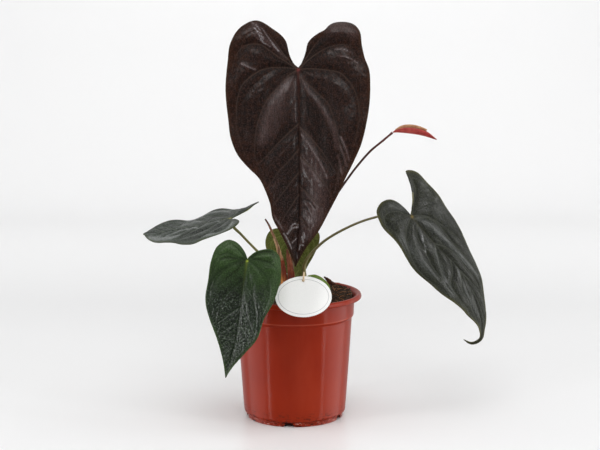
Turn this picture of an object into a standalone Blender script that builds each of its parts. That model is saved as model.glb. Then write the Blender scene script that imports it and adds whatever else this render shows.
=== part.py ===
"""A potted dark-leaved anthurium: pot, soil, crown, six leaves, one flower, dry sheaths and a tag.

Metres, +Z up. The origin is the middle of the pot's base, and -Y is the front.
Sizes below are in millimetres and MM turns them into metres.
"""

import math

import bmesh
import bpy
import numpy as np
from mathutils import Vector, noise

MM = 0.001

# Pot: radii and heights of a 12 cm nursery pot.
POT_HEIGHT = 113.0
POT_RIM_RADIUS = 60.0
POT_WALL = 1.4
POT_FLOOR = 1.6
POT_STEPS = 48
WALL_LINE = ((46.5, 14.0), (49.1, 52.0), (51.5, 90.6), (53.2, 94.2), (53.7, 107.6))
FOOT_RADIUS = 43.4
FOOT_HEIGHT = 4.4
FOOT_DISC_RADIUS = 22.0
CHANNEL_HEIGHT = 3.2
NOTCH_COUNT = 5
NOTCH_TURN = -96.5
NOTCH_WIDTH_LOW = 10.0
NOTCH_WIDTH_HIGH = 6.0
NOTCH_HEIGHT = 4.0
DRAIN_HOLE_RADIUS = 3.5
DRAIN_CIRCLE_RADIUS = 34.0

# Soil: it fills the pot to 9 mm below the rim and heaps up a little round the crown.
SOIL_GAP = 0.35
SOIL_LEVEL = 103.6
SOIL_HEAP = 0.6
SOIL_HEAP_SPREAD = 0.45
SOIL_RINGS = 7
SOIL_BUMP = 0.7
SOIL_CRUMBS = ((0.13, 3.7, 1.0), (0.31, 9.1, 0.6))

# Crown: the short stem that every stalk grows from.
CROWN_X = -3.0
CROWN_Y = 0.0
CROWN_RADIUS = 8.0
CROWN_NECK = 6.8
CROWN_DOME_Z = 110.0
CROWN_FOOT_Z = 74.0
SEAT_GAP = 0.3
SHEATH_FOOT_Z = 106.3

# Blades are 0.7 mm thick, which is stout enough for a leathery leaf.
BLADE_THICKNESS = 0.7
VEIN_ENDS = (0.19, 0.37, 0.49, 0.62, 0.70, 0.77, 0.83, 0.885, 0.94, 1.0)
RIB_SLANT = 1.25
ROW_BENDS = ((0.0, 0.0), (0.19, 0.0), (0.37, 22.0), (0.62, 22.0), (0.70, 9.0), (1.0, 9.0))
FAN_SPREAD = 40.0
ROW_BOW = 0.52
QUILT_ROOT = 0.25
QUILT_RIM = 0.2
QUILT_CLEAR = 9.0
WAVE_REACH = 20.0
WELD = 0.02

# Tag: an oval card that leans on the rim, tied on with twine.
TAG_WIDTH = 48.4
TAG_HEIGHT = 35.2
TAG_THICKNESS = 0.6
TAG_CENTRE = (7.8, -59.8, 120.8)
TAG_LEAN = 6.0
TAG_ROLL = -0.8
TAG_HOLE_RADIUS = 1.9
TAG_HOLE_DROP = 3.6
TWINE_DIAMETER = 1.4


# Scene and materials

def clear_scene():
    for thing in list(bpy.data.objects):
        bpy.data.objects.remove(thing, do_unlink=True)


def plain_material(name, colour, roughness):
    material = bpy.data.materials.new(name)
    material.use_nodes = True
    shader = material.node_tree.nodes["Principled BSDF"]
    shader.inputs["Base Color"].default_value = (*colour, 1.0)
    shader.inputs["Roughness"].default_value = roughness
    shader.inputs["Metallic"].default_value = 0.0
    return material


def add_mesh_object(name, vertices, faces, material):
    """A smooth-shaded object from vertices in millimetres."""
    mesh = bpy.data.meshes.new(name)
    mesh.from_pydata([tuple(MM * c for c in v) for v in vertices], [], faces)
    work = bmesh.new()
    work.from_mesh(mesh)
    bmesh.ops.remove_doubles(work, verts=work.verts, dist=0.001 * MM)
    bmesh.ops.recalc_face_normals(work, faces=work.faces)
    work.to_mesh(mesh)
    work.free()
    mesh.shade_smooth()
    mesh.set_sharp_from_angle(angle=math.radians(50))
    mesh.materials.append(material)
    made = bpy.data.objects.new(name, mesh)
    bpy.context.collection.objects.link(made)
    return made


# Curves and turned shapes

def read_curve(points, places):
    """Rows read at places (0 to 1 by chord length) from a smooth curve through the points."""
    rows = np.asarray(points, dtype=float)
    width = min(rows.shape[1], 3)
    steps = np.linalg.norm(np.diff(rows[:, :width], axis=0), axis=1)
    knots = np.concatenate(([0.0], np.cumsum(steps)))
    knots = knots / knots[-1]
    return read_keyed(knots, rows, places)


def read_keyed(knots, rows, places):
    """Rows read at places from a smooth curve that passes each row at its knot."""
    knots = np.asarray(knots, dtype=float)
    rows = np.asarray(rows, dtype=float)
    places = np.asarray(places, dtype=float)
    gaps = np.diff(knots)[:, None]
    lean = np.diff(rows, axis=0) / gaps
    slopes = np.empty_like(rows)
    slopes[0] = lean[0]
    slopes[-1] = lean[-1]
    before = gaps[:-1]
    after = gaps[1:]
    slopes[1:-1] = (lean[:-1] * after + lean[1:] * before) / (before + after)
    span = np.clip(np.searchsorted(knots, places, side="right") - 1, 0, len(knots) - 2)
    width = gaps[span]
    u = ((places - knots[span])[:, None]) / width
    low = rows[span]
    high = rows[span + 1]
    return (low * (2 * u**3 - 3 * u**2 + 1) + high * (3 * u**2 - 2 * u**3)
            + width * (slopes[span] * (u**3 - 2 * u**2 + u) + slopes[span + 1] * (u**3 - u**2)))


def turned_object(name, profile, steps, material, centre=(0.0, 0.0)):
    """A solid of revolution. The profile runs from the axis round the outside and back to it."""
    vertices = []
    rings = []
    for radius, height in profile:
        if radius == 0.0:
            rings.append([len(vertices)] * steps)
            vertices.append((centre[0], centre[1], height))
            continue
        rings.append(list(range(len(vertices), len(vertices) + steps)))
        for step in range(steps):
            angle = 2 * math.pi * step / steps
            vertices.append((centre[0] + radius * math.cos(angle),
                             centre[1] + radius * math.sin(angle), height))
    faces = []
    for low, high in zip(rings, rings[1:]):
        for step in range(steps):
            after = (step + 1) % steps
            corners = [low[step], low[after], high[after], high[step]]
            face = list(dict.fromkeys(corners))
            if len(face) > 2:
                faces.append(face)
    return add_mesh_object(name, vertices, faces, material)


def stalk_object(name, route, material, count=18, crowd_ends=True):
    """A tapering round stalk along route rows of (x, y, z, radius)."""
    places = np.linspace(0.0, 1.0, count)
    if crowd_ends:
        places = 0.5 - 0.5 * np.cos(math.pi * places)
    rows = read_curve(route, places)
    curve = bpy.data.curves.new(name, "CURVE")
    curve.dimensions = "3D"
    curve.bevel_depth = MM
    curve.bevel_resolution = 2
    curve.use_fill_caps = True
    spline = curve.splines.new("POLY")
    spline.points.add(count - 1)
    for point, (x, y, z, radius) in zip(spline.points, rows):
        point.co = (MM * x, MM * y, MM * z, 1.0)
        point.radius = radius
    spline.use_smooth = True
    curve.materials.append(material)
    made = bpy.data.objects.new(name, curve)
    bpy.context.collection.objects.link(made)
    return made


# Pot

def pot_profile():
    """The pot's section from the middle of its underside, up outside, over the rim and down."""
    rim = POT_RIM_RADIUS
    top = POT_HEIGHT
    foot = FOOT_RADIUS
    disc = FOOT_DISC_RADIUS
    base = [
        (0.0, 0.0), (disc, 0.0), (disc + 2.0, CHANNEL_HEIGHT), (foot - 1.6, CHANNEL_HEIGHT),
        (foot - 1.4, 0.0), (foot, 0.0), (foot + 0.3, FOOT_HEIGHT), (foot + 2.0, FOOT_HEIGHT + 0.4),
        (foot + 2.4, FOOT_HEIGHT + 1.6)]
    shoulder = [(WALL_LINE[2][0] + 0.2, WALL_LINE[2][1] + 0.8),
                (WALL_LINE[3][0] - 0.3, WALL_LINE[3][1] - 1.4)]
    wall = [*WALL_LINE[:3], *shoulder, *WALL_LINE[3:]]
    lip = [
        (rim - 0.8, top - 4.6), (rim, top - 3.8), (rim, top - 2.7), (rim - 0.6, top - 0.8),
        (rim - 1.9, top), (rim - 3.4, top - 0.3), (rim - 4.8, top - 1.6)]
    return base + wall + lip + pot_inside(0.0)[::-1]


def pot_inside(gap):
    """The section of the pot's inner face, from the middle of its floor up, drawn in by gap."""
    ledge = CHANNEL_HEIGHT + 1.5
    floor = [
        (0.0, POT_FLOOR), (FOOT_DISC_RADIUS + 0.8, POT_FLOOR), (FOOT_DISC_RADIUS + 2.8, ledge),
        (FOOT_RADIUS - 2.9, ledge), (FOOT_RADIUS + 0.9, ledge + 1.7)]
    drawn = [(max(radius - 1.5 * gap, 0.0), height + gap) for radius, height in floor]
    return drawn + [(radius - POT_WALL - gap, height) for radius, height in WALL_LINE]


def drain_cutter(material):
    """Five notches through the foot ring and five round holes through the raised channel."""
    vertices = []
    faces = []
    reach_in = FOOT_RADIUS - 4.0
    reach_out = FOOT_RADIUS + 3.0
    for index in range(NOTCH_COUNT):
        turn = math.radians(NOTCH_TURN + 360.0 / NOTCH_COUNT * index)
        out = Vector((math.cos(turn), math.sin(turn), 0.0))
        side = Vector((-out.y, out.x, 0.0))
        start = len(vertices)
        slope = (NOTCH_WIDTH_LOW - NOTCH_WIDTH_HIGH) / NOTCH_HEIGHT
        section = [(-NOTCH_WIDTH_LOW / 2 - slope / 2, -1.0), (NOTCH_WIDTH_LOW / 2 + slope / 2, -1.0),
                   (NOTCH_WIDTH_HIGH / 2, NOTCH_HEIGHT), (-NOTCH_WIDTH_HIGH / 2, NOTCH_HEIGHT)]
        for reach in (reach_in, reach_out):
            for across, height in section:
                spot = out * reach + side * across
                vertices.append((spot.x, spot.y, height))
        faces.append([start + i for i in (3, 2, 1, 0)])
        faces.append([start + i for i in (4, 5, 6, 7)])
        for i in range(4):
            j = (i + 1) % 4
            faces.append([start + i, start + j, start + 4 + j, start + 4 + i])
        start = len(vertices)
        sides = 12
        middle = out * DRAIN_CIRCLE_RADIUS
        for height in (1.0, 7.0):
            for i in range(sides):
                angle = 2 * math.pi * i / sides
                vertices.append((middle.x + DRAIN_HOLE_RADIUS * math.cos(angle),
                                 middle.y + DRAIN_HOLE_RADIUS * math.sin(angle), height))
        faces.append([start + i for i in reversed(range(sides))])
        faces.append([start + sides + i for i in range(sides)])
        for i in range(sides):
            j = (i + 1) % sides
            faces.append([start + i, start + j, start + sides + j, start + sides + i])
    cutter = add_mesh_object("drain_cutter", vertices, faces, material)
    cutter.hide_render = True
    cutter.display_type = "WIRE"
    return cutter


def make_pot():
    plastic = plain_material("terracotta_plastic", (0.36, 0.075, 0.045), 0.4)
    pot = turned_object("pot", pot_profile(), POT_STEPS, plastic)
    cut = pot.modifiers.new("drain", "BOOLEAN")
    cut.operation = "DIFFERENCE"
    cut.solver = "EXACT"
    cut.object = drain_cutter(plastic)
    return pot


# Soil

def soil_height(x, y):
    """Top of the soil: level at the wall, heaped at the crown, with a coarse crumb."""
    away = math.hypot(x - CROWN_X, y - CROWN_Y) / POT_RIM_RADIUS
    heap = SOIL_HEAP * math.exp(-(away / SOIL_HEAP_SPREAD) ** 2)
    crumb = sum(weight * noise.noise(Vector((x * fine, y * fine, layer)))
                for fine, layer, weight in SOIL_CRUMBS)
    return SOIL_LEVEL + heap + SOIL_BUMP * crumb


def ring_points(radius, height, centre=(0.0, 0.0)):
    """A level ring of points with the same turns as the pot's own facets."""
    turns = [2 * math.pi * i / POT_STEPS for i in range(POT_STEPS)]
    return [(centre[0] + radius * math.cos(a), centre[1] + radius * math.sin(a), height)
            for a in turns]


def make_soil():
    """A plug of soil with a plain blind hole for the crown's foot."""
    earth = plain_material("potting_mix", (0.05, 0.032, 0.022), 0.95)
    hole = CROWN_NECK + SEAT_GAP
    floor_z = CROWN_FOOT_Z - SEAT_GAP
    below = pot_inside(SOIL_GAP)[:-1]
    heights = [height for _, height in WALL_LINE]
    radii = [radius for radius, _ in WALL_LINE]
    edge = np.interp(SOIL_LEVEL, heights, radii) - POT_WALL - SOIL_GAP
    rings = [ring_points(radius, height) for radius, height in below[1:]]
    outer = ring_points(edge, 0.0)
    inner = ring_points(hole, 0.0, (CROWN_X, CROWN_Y))
    for step in range(SOIL_RINGS + 1):
        share = 1.0 - step / SOIL_RINGS
        ring = []
        for far, near in zip(outer, inner):
            x = share * far[0] + (1 - share) * near[0]
            y = share * far[1] + (1 - share) * near[1]
            ring.append((x, y, soil_height(x, y)))
        rings.append(ring)
    rings.append(ring_points(hole, floor_z, (CROWN_X, CROWN_Y)))
    vertices = [(0.0, 0.0, below[0][1])]
    for ring in rings:
        vertices.extend(ring)
    vertices.append((CROWN_X, CROWN_Y, floor_z))
    faces = []
    last = len(vertices) - 1 - POT_STEPS
    for i in range(POT_STEPS):
        j = (i + 1) % POT_STEPS
        faces.append([0, 1 + j, 1 + i])
        faces.append([last + i, last + j, len(vertices) - 1])
        for low in range(1, last, POT_STEPS):
            high = low + POT_STEPS
            faces.append([low + i, low + j, high + j])
            faces.append([low + i, high + j, high + i])
    return add_mesh_object("soil", vertices, faces, earth)


# Crown

def make_crown():
    bark = plain_material("crown_bark", (0.16, 0.10, 0.05), 0.7)
    radius = CROWN_RADIUS
    foot = CROWN_FOOT_Z
    profile = [(0.0, foot), (CROWN_NECK - 2.2, foot + 0.4), (CROWN_NECK - 0.4, foot + 6.0),
               (CROWN_NECK, CROWN_DOME_Z - 12.0), (CROWN_NECK, CROWN_DOME_Z - 3.0)]
    for degrees in (90, 70, 50, 30, 12):
        down = math.radians(degrees)
        profile.append((radius * math.sin(down), CROWN_DOME_Z + radius * math.cos(down)))
    profile.append((0.0, CROWN_DOME_Z + radius))
    return turned_object("crown_stem", profile, 20, bark, centre=(CROWN_X, CROWN_Y))


def crown_seat(azimuth, polar, lift):
    """A point above the crown's dome, given its compass angle and its angle from the top."""
    around = math.radians(azimuth)
    down = math.radians(polar)
    reach = CROWN_RADIUS + SEAT_GAP + lift
    return (CROWN_X + reach * math.sin(down) * math.cos(around),
            CROWN_Y + reach * math.sin(down) * math.sin(around),
            CROWN_DOME_Z + reach * math.cos(down))


# Leaf blades

def unit(rows):
    return rows / np.linalg.norm(rows, axis=-1, keepdims=True)


def blade_frame(leaf, along):
    """Place, direction, face normal and fold values of a blade at lengths along its midrib."""
    rows = np.asarray(leaf["spine"], dtype=float)
    steps = np.linalg.norm(np.diff(rows[:, :3], axis=0), axis=1)
    knots = np.concatenate(([-steps[0]], [0.0], np.cumsum(steps[1:])))
    along = np.asarray(along, dtype=float)
    read = read_keyed(knots, rows, along)
    tiny = 0.5
    ahead = read_keyed(knots, rows, along + tiny)[:, :3]
    back = read_keyed(knots, rows, along - tiny)[:, :3]
    direction = unit(ahead - back)
    normal = read[:, 3:6]
    normal = unit(normal - direction * np.sum(normal * direction, axis=1, keepdims=True))
    return read[:, :3], direction, normal, read[:, 6:10]


def blade_length(leaf):
    rows = np.asarray(leaf["spine"], dtype=float)[1:, :3]
    return float(np.sum(np.linalg.norm(np.diff(rows, axis=0), axis=1)))


def blade_place(leaf, along, across):
    """World places of blade points given along the midrib and across it, right side positive."""
    spot, direction, normal, bends = blade_frame(leaf, along)
    right = np.cross(normal, direction)
    is_right = across > 0
    fold = np.radians(np.where(is_right, bends[:, 1], bends[:, 0]))
    curl = np.radians(np.where(is_right, bends[:, 3], bends[:, 2])) / 10.0
    reach = np.abs(across)
    curl = np.where(np.abs(curl) < 1e-6, 1e-6, curl)
    outward = (np.sin(fold + curl * reach) - np.sin(fold)) / curl
    upward = (np.cos(fold) - np.cos(fold + curl * reach)) / curl
    side = np.where(is_right, 1.0, -1.0)
    drop, start, reach_back = (np.where(is_right, r, l) for l, r in zip(*leaf["lobe_bend"]))
    upward = upward - drop * np.clip((-along - start) / reach_back, 0.0, None) ** 2
    return spot + right * (outward * side)[:, None] + normal * upward[:, None]


def outline_rows(leaf, side, places):
    """Margin points of one half, scaled so that the last one is the blade's tip."""
    outline = np.asarray(leaf[side], dtype=float)
    rows = read_curve(outline, places)
    rows[:, 0] *= blade_length(leaf) / outline[-1, 0]
    return rows


def midrib_foot(leaf, along_margin):
    """Where on the midrib a row starts: slanted back from the margin, the same for both halves."""
    feet = []
    for side in ("left", "right"):
        edge = outline_rows(leaf, side, along_margin)
        feet.append(np.clip(edge[:, 0] - RIB_SLANT * edge[:, 1], 0.0, None))
    return np.where(along_margin > 0.5, (feet[0] + feet[1]) / 2, 0.0)


def row_leans(leaf, side):
    """The angle at which rows leave the midrib. In the fan they spread without crossing."""
    places = np.linspace(0.0, 1.0, 401)
    edge = outline_rows(leaf, side, places)
    foot = midrib_foot(leaf, places)
    bends = np.asarray(ROW_BENDS)
    lean = np.arctan2(edge[:, 1], edge[:, 0] - foot) + np.radians(
        np.interp(places, bends[:, 0], bends[:, 1]))
    spread = np.radians(FAN_SPREAD) * places
    fan = np.minimum.accumulate(lean + spread) - spread
    return places, np.where(foot > 0, lean, fan)


def vein_place(leaf, side, along_margin, outward):
    """Blade place of a point on the row that ends at along_margin, outward 0 to 1 from its foot."""
    edge = outline_rows(leaf, side, along_margin)
    foot = midrib_foot(leaf, along_margin)
    size = np.hypot(edge[:, 1], edge[:, 0] - foot)
    lean = np.interp(along_margin, *row_leans(leaf, side))
    middle_a = foot + ROW_BOW * size * np.cos(lean)
    middle_b = ROW_BOW * size * np.sin(lean)
    t = outward
    a = (1 - t)**2 * foot + 2 * t * (1 - t) * middle_a + t**2 * edge[:, 0]
    b = 2 * t * (1 - t) * middle_b + t**2 * edge[:, 1]
    return a, b


def blade_relief(leaf, along_margin, outward, along, across):
    """Height of the quilting between the veins and of the waved margin."""
    ends = np.asarray((0.0,) + VEIN_ENDS)
    cell = np.clip(np.searchsorted(ends, along_margin, side="right") - 1, 0, len(ends) - 2)
    phase = (along_margin - ends[cell]) / (ends[cell + 1] - ends[cell])
    body = np.clip(outward / QUILT_ROOT, 0, 1) * np.clip((1.0 - outward) / QUILT_RIM, 0, 1)
    body = body * np.clip(np.abs(across) / QUILT_CLEAR, 0, 1)
    quilt = leaf["quilt"] * np.sin(math.pi * phase) * body
    size = np.clip(np.abs(across) / WAVE_REACH, 0, 1)
    turn = np.radians(np.where(across > 0, leaf["wave_turn"][1], leaf["wave_turn"][0]))
    height = np.where(across > 0, leaf["wave"][1], leaf["wave"][0])
    wave = height * size * outward**3 * np.sin(2 * math.pi * along / leaf["wave_length"] + turn)
    return quilt + wave


def make_leaf(name, leaf, material):
    """One blade: rows of points fan out of the stalk's joint, then leave the midrib to the tip."""
    row_places = [0.0]
    for end in VEIN_ENDS:
        begin = row_places[-1]
        count = leaf["rows"]
        row_places += [begin + (end - begin) * (i + 1) / count for i in range(count)]
    row_places = np.array(row_places)
    columns = leaf["columns"]
    outward = (np.arange(columns + 1) / columns) ** 0.85
    vertices = []
    faces = []
    for side, sign in (("left", -1.0), ("right", 1.0)):
        start = len(vertices)
        margin, out = np.meshgrid(row_places, outward, indexing="ij")
        margin = margin.ravel()
        out = out.ravel()
        a, b = vein_place(leaf, side, margin, out)
        b = b * sign
        flat = blade_place(leaf, a, b)
        normal = blade_frame(leaf, a)[2]
        places = flat + normal * blade_relief(leaf, margin, out, a, b)[:, None]
        vertices.extend(map(tuple, places))
        stride = columns + 1
        for i in range(len(row_places) - 1):
            for j in range(columns):
                p = start + i * stride + j
                quad = [p, p + 1, p + stride + 1, p + stride]
                if sign > 0:
                    quad.reverse()
                faces.append([quad[0], quad[1], quad[2]])
                faces.append([quad[0], quad[2], quad[3]])
    mesh = bpy.data.meshes.new(name)
    mesh.from_pydata([tuple(MM * c for c in v) for v in vertices], [], faces)
    work = bmesh.new()
    work.from_mesh(mesh)
    bmesh.ops.remove_doubles(work, verts=work.verts, dist=WELD * MM)
    bmesh.ops.dissolve_degenerate(work, edges=work.edges, dist=WELD / 2 * MM)
    bmesh.ops.triangulate(work, faces=work.faces)
    work.to_mesh(mesh)
    work.free()
    mesh.shade_smooth()
    mesh.materials.append(material)
    made = bpy.data.objects.new(name, mesh)
    bpy.context.collection.objects.link(made)
    thick = made.modifiers.new("thickness", "SOLIDIFY")
    thick.thickness = BLADE_THICKNESS * MM
    thick.offset = 0.0
    return made


# Each blade's spine rows are x, y, z, the face normal, left and right fold in degrees,
# and left and right curl in degrees for 10 mm. The first row lies behind the stalk's joint.
# Outlines run from the sinus round the lobe to the tip: along the midrib, then out from it.
# Lobe bends, left then right: how far back, from what length behind the joint, over what length.
LEAVES = {
    "leaf_front": {
        "spine": [
            (3.2, 2.0, 355.0, 0, -0.96, 0.28, 12, 12, -1, -2),
            (3.3, -6.0, 312.5, 0, -0.98, 0.19, 12, 12, -1, -1),
            (4.0, -14.0, 270.0, 0, -0.98, 0.17, 14, 14, -2, -1),
            (4.4, -22.0, 225.0, 0, -0.98, 0.16, 18, 18, -3, -2),
            (4.0, -29.0, 180.0, 0, -0.99, 0.14, 22, 22, -3, -3),
            (0.9, -34.0, 142.0, 0, -1.0, 0.10, 24, 24, 0, 0)],
        "left": [(-1.5, 0), (-7, 7), (-16, 9), (-24, 11), (-35, 23), (-42, 38), (-37, 49),
                 (-20, 60), (-6, 62), (17, 64), (45, 62), (61, 60), (76, 54), (87, 45), (96, 36),
                 (106, 31), (117, 27), (132, 24), (144, 17), (157, 9), (173, 0)],
        "right": [(-1.5, 0), (-6, 4), (-15, 7), (-23, 9), (-31, 18), (-34, 24), (-37.5, 27),
                  (-40, 30.5), (-41.5, 38.5), (-38.5, 49), (-33, 53.5), (-19, 56), (-8, 58.5),
                  (2, 62), (18, 63), (51, 59), (69, 54), (80, 49), (96, 41), (107, 36),
                  (122, 28), (141, 18), (156, 8), (173, 0)],
        "lobe_bend": ((2, 8, 30), (4, 30, 8)), "quilt": 0.9, "wave": (0.8, 0.8), "wave_length": 46.0,
        "wave_turn": (-45, 45), "rows": 3, "columns": 7},
    "leaf_right": {
        "spine": [
            (90, -9, 202, 0.55, -0.74, 0.35, 4, 6, -3, -2),
            (103.5, -10, 183.1, 0.55, -0.74, 0.35, 4, 6, -3, -2),
            (123, -10, 159.8, 0.56, -0.74, 0.33, 3, 4, -4, -3),
            (148, -10, 133.4, 0.62, -0.70, 0.30, 1, 0, -5, -5),
            (162.6, -12, 103.4, 0.70, -0.66, 0.20, 2, 0, -5, -5),
            (166.9, -13, 82.7, 0.75, -0.64, 0.10, 8, 4, 0, 0),
            (165.4, -14, 73.4, 0.75, -0.60, -0.30, 16, 20, 0, 0),
            (158.7, -13.5, 69.4, 0.2, -0.60, -0.80, 16, 20, 0, 0),
            (151.0, -12, 71.4, -0.3, -0.60, -0.80, 16, 20, 0, 0)],
        "left": [(-1.5, 0), (-7, 1.2), (-15, 3), (-24, 9.5), (-27, 20), (-24, 29), (-12, 33),
                 (4, 31), (20, 33), (39, 34), (67, 32), (88, 25), (103, 17), (125, 4.5),
                 (138, 2.6), (147, 0)],
        "right": [(-1.5, 0), (-5, 4.6), (-13, 14), (-23, 21.5), (-33.5, 23), (-31, 28.5),
                  (-26.5, 33), (-15, 37), (10, 38), (32, 36.5), (51, 31), (74, 23), (90, 18),
                  (103, 13), (114, 8), (124, 4), (138, 2.6), (147, 0)],
        "lobe_bend": ((3, 8, 30), (0, 8, 30)), "quilt": 0.8, "wave": (1.0, 1.0), "wave_length": 38.0,
        "wave_turn": (-45, 45), "rows": 3, "columns": 6},
    "leaf_left": {
        "spine": [
            (-37, -19, 186, -0.24, -0.10, 0.96, 0, 5, 0, -2),
            (-56.4, -10, 181.3, -0.24, -0.10, 0.96, 0, -2, 0, -2),
            (-78.2, 0, 174.4, -0.24, -0.10, 0.96, 1, -5, 0, -2),
            (-94.8, 7, 169.5, -0.20, -0.10, 0.96, 3, -6, 0, -2),
            (-108.8, 12, 166.2, -0.16, -0.12, 0.97, 4, -6, 0, -2),
            (-126.6, 19, 163.2, -0.10, -0.13, 0.97, 4, -6, 0, -2),
            (-138.0, 24, 161.6, -0.05, -0.13, 0.97, 8, 6, 0, 0)],
        "left": [(-1.5, 0), (-4, 5), (-8, 13), (-11.5, 22), (-14.5, 32), (-8, 35), (4, 36),
                 (20, 37), (36, 36), (50, 31), (66, 28), (78, 22), (86, 14), (91, 0)],
        "right": [(-1.5, 0), (-4, 4), (-10, 8), (-16.5, 17), (-17, 26), (-11, 34), (2, 37),
                  (20, 36.5), (36, 33), (51, 27), (65, 21), (80, 12), (91, 0)],
        "lobe_bend": ((0, 8, 30), (0, 8, 30)), "quilt": 0.7, "wave": (2.4, 0.9), "wave_length": 46.0,
        "wave_turn": (-145, 30), "rows": 2, "columns": 6},
    "leaf_lower_left": {
        "spine": [
            (-36, -66, 172, -0.05, -0.96, 0.28, 8, 8, -1, -2),
            (-39.8, -72, 154.6, -0.05, -0.98, 0.2, 8, 8, -2, -2),
            (-45.2, -76, 120.5, -0.08, -0.99, 0.12, 10, 10, -2, -2),
            (-50.3, -79, 87.4, -0.10, -0.99, 0.06, 12, 12, -2, -2),
            (-58.6, -81, 54.6, -0.12, -0.99, 0.0, 14, 14, 0, 0)],
        "left": [(-1.5, 0), (-8, 5), (-13, 12), (-14, 18), (-7, 27), (5, 30), (20, 30), (37, 30),
                 (54, 24), (67, 17), (80, 10), (92, 4), (102, 0)],
        "right": [(-1.5, 0), (-7, 4), (-11, 10), (-13, 18), (-9, 26), (-1, 29), (9, 31),
                  (20, 30), (31, 28), (47, 22), (63, 19), (77, 11), (93, 3), (102, 0)],
        "lobe_bend": ((0, 8, 30), (2, 8, 30)), "quilt": 0.8, "wave": (0.6, 0.6), "wave_length": 30.0,
        "wave_turn": (-45, 45), "rows": 2, "columns": 6},
    "leaf_back": {
        "spine": [
            (1.5, 24, 172, 0, -0.90, 0.40, 8, 8, -1, -1),
            (2.1, 18, 159, 0, -0.92, 0.35, 10, 10, -1, -1),
            (3.5, 11, 140, 0, -0.95, 0.30, 12, 12, -1, -1),
            (4.8, 5, 121, 0, -0.96, 0.28, 14, 14, 0, 0)],
        "left": [(-1.2, 0), (-5, 6), (-9, 14), (-7, 24), (2, 29), (14, 27), (26, 18), (40, 0)],
        "right": [(-1.2, 0), (-4, 7), (-6, 14), (-3, 20), (6, 20), (16, 15), (28, 7), (40, 0)],
        "lobe_bend": ((0, 8, 30), (0, 8, 30)), "quilt": 0.4, "wave": (0.5, 0.5), "wave_length": 22.0,
        "wave_turn": (-45, 45), "rows": 1, "columns": 4},
    "leaf_small": {
        "spine": [
            (5, -25, 128, -0.1, -0.45, 0.9, 6, 6, -2, -2),
            (10, -29, 127.5, 0.0, -0.45, 0.9, 6, 6, -4, -4),
            (18, -34, 126, 0.2, -0.45, 0.85, 6, 6, -4, -4),
            (26, -39, 122, 0.5, -0.45, 0.7, 6, 6, -4, -4),
            (31, -42, 115.5, 0.8, -0.45, 0.3, 6, 6, 0, 0)],
        "left": [(-1.0, 0), (-4, 4), (-5, 8), (0, 11.5), (8, 12.5), (18, 11), (28, 6), (36, 0)],
        "right": [(-1.0, 0), (-4, 4), (-5, 8), (0, 11.5), (8, 12.5), (18, 11), (28, 6), (36, 0)],
        "lobe_bend": ((0, 8, 30), (0, 8, 30)), "quilt": 0.3, "wave": (0.4, 0.4), "wave_length": 16.0,
        "wave_turn": (-45, 45), "rows": 1, "columns": 4},
}

LEAF_COLOURS = {
    "leaf_front": (0.035, 0.018, 0.014),
    "leaf_right": (0.045, 0.055, 0.045),
    "leaf_left": (0.075, 0.095, 0.08),
    "leaf_lower_left": (0.03, 0.07, 0.035),
    "leaf_back": (0.13, 0.17, 0.05),
    "leaf_small": (0.16, 0.27, 0.06),
}


def make_leaves():
    for name, leaf in LEAVES.items():
        make_leaf(name, leaf, plain_material(name + "_skin", LEAF_COLOURS[name], 0.42))


def blade_joint(name, back):
    """A point behind the foot of a blade's midrib, square to the blade."""
    spot, _, normal, _ = blade_frame(LEAVES[name], [1.2])
    place = spot[0] - normal[0] * (BLADE_THICKNESS / 2 + SEAT_GAP + back)
    return tuple(place)


# Petioles: seat angles on the crown, then the points on the way, then the blade's joint.
PETIOLES = {
    "petiole_front": ("leaf_front", (-90, 12), 2.3, 1.7,
                      [(-2, -2.5, 150, 1.9), (0.5, -1.5, 210, 1.6), (2.5, 2, 270, 1.4),
                       (3.2, 3, 300, 1.5)]),
    "petiole_right": ("leaf_right", (-20, 52), 2.0, 1.4,
                      [(9, -2, 139, 1.6), (22, -1, 155.5, 1.25), (45, -1, 170.5, 1.1),
                       (70, -2, 180.5, 1.05), (88, -3, 184, 1.1)]),
    "petiole_left": ("leaf_left", (158, 50), 1.9, 1.4,
                     [(-17, 2, 134, 1.5), (-33, -5, 150.7, 1.2), (-47, -8, 166, 1.15)]),
    "petiole_lower_left": ("leaf_lower_left", (-160, 62), 2.0, 1.5,
                           [(-19.5, -7.5, 124, 1.8), (-27, -26, 142, 1.5), (-35, -52, 153, 1.4),
                            (-38, -64, 155, 1.5)]),
    "petiole_back": ("leaf_back", (112, 56), 2.0, 1.3,
                     [(-5, 15, 128, 1.6), (-2, 24, 145, 1.3), (1, 25, 155, 1.3)]),
    "petiole_small": ("leaf_small", (-58, 62), 1.8, 1.1,
                      [(5, -17, 118, 1.4), (9, -25, 122, 1.1)]),
}


def make_petioles():
    green = plain_material("petiole_skin", (0.22, 0.20, 0.06), 0.45)
    for name, (leaf_name, seat, foot, joint, way) in PETIOLES.items():
        azimuth, polar = seat
        route = [(*crown_seat(azimuth, polar, 0.0), foot), (*crown_seat(azimuth, polar, 6.0), foot)]
        route += way
        route.append((*blade_joint(leaf_name, 4.0), joint))
        route.append((*blade_joint(leaf_name, 0.0), joint))
        stalk_object(name, route, green)


# Flower: stalk, folded bract and the spike in it

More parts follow.
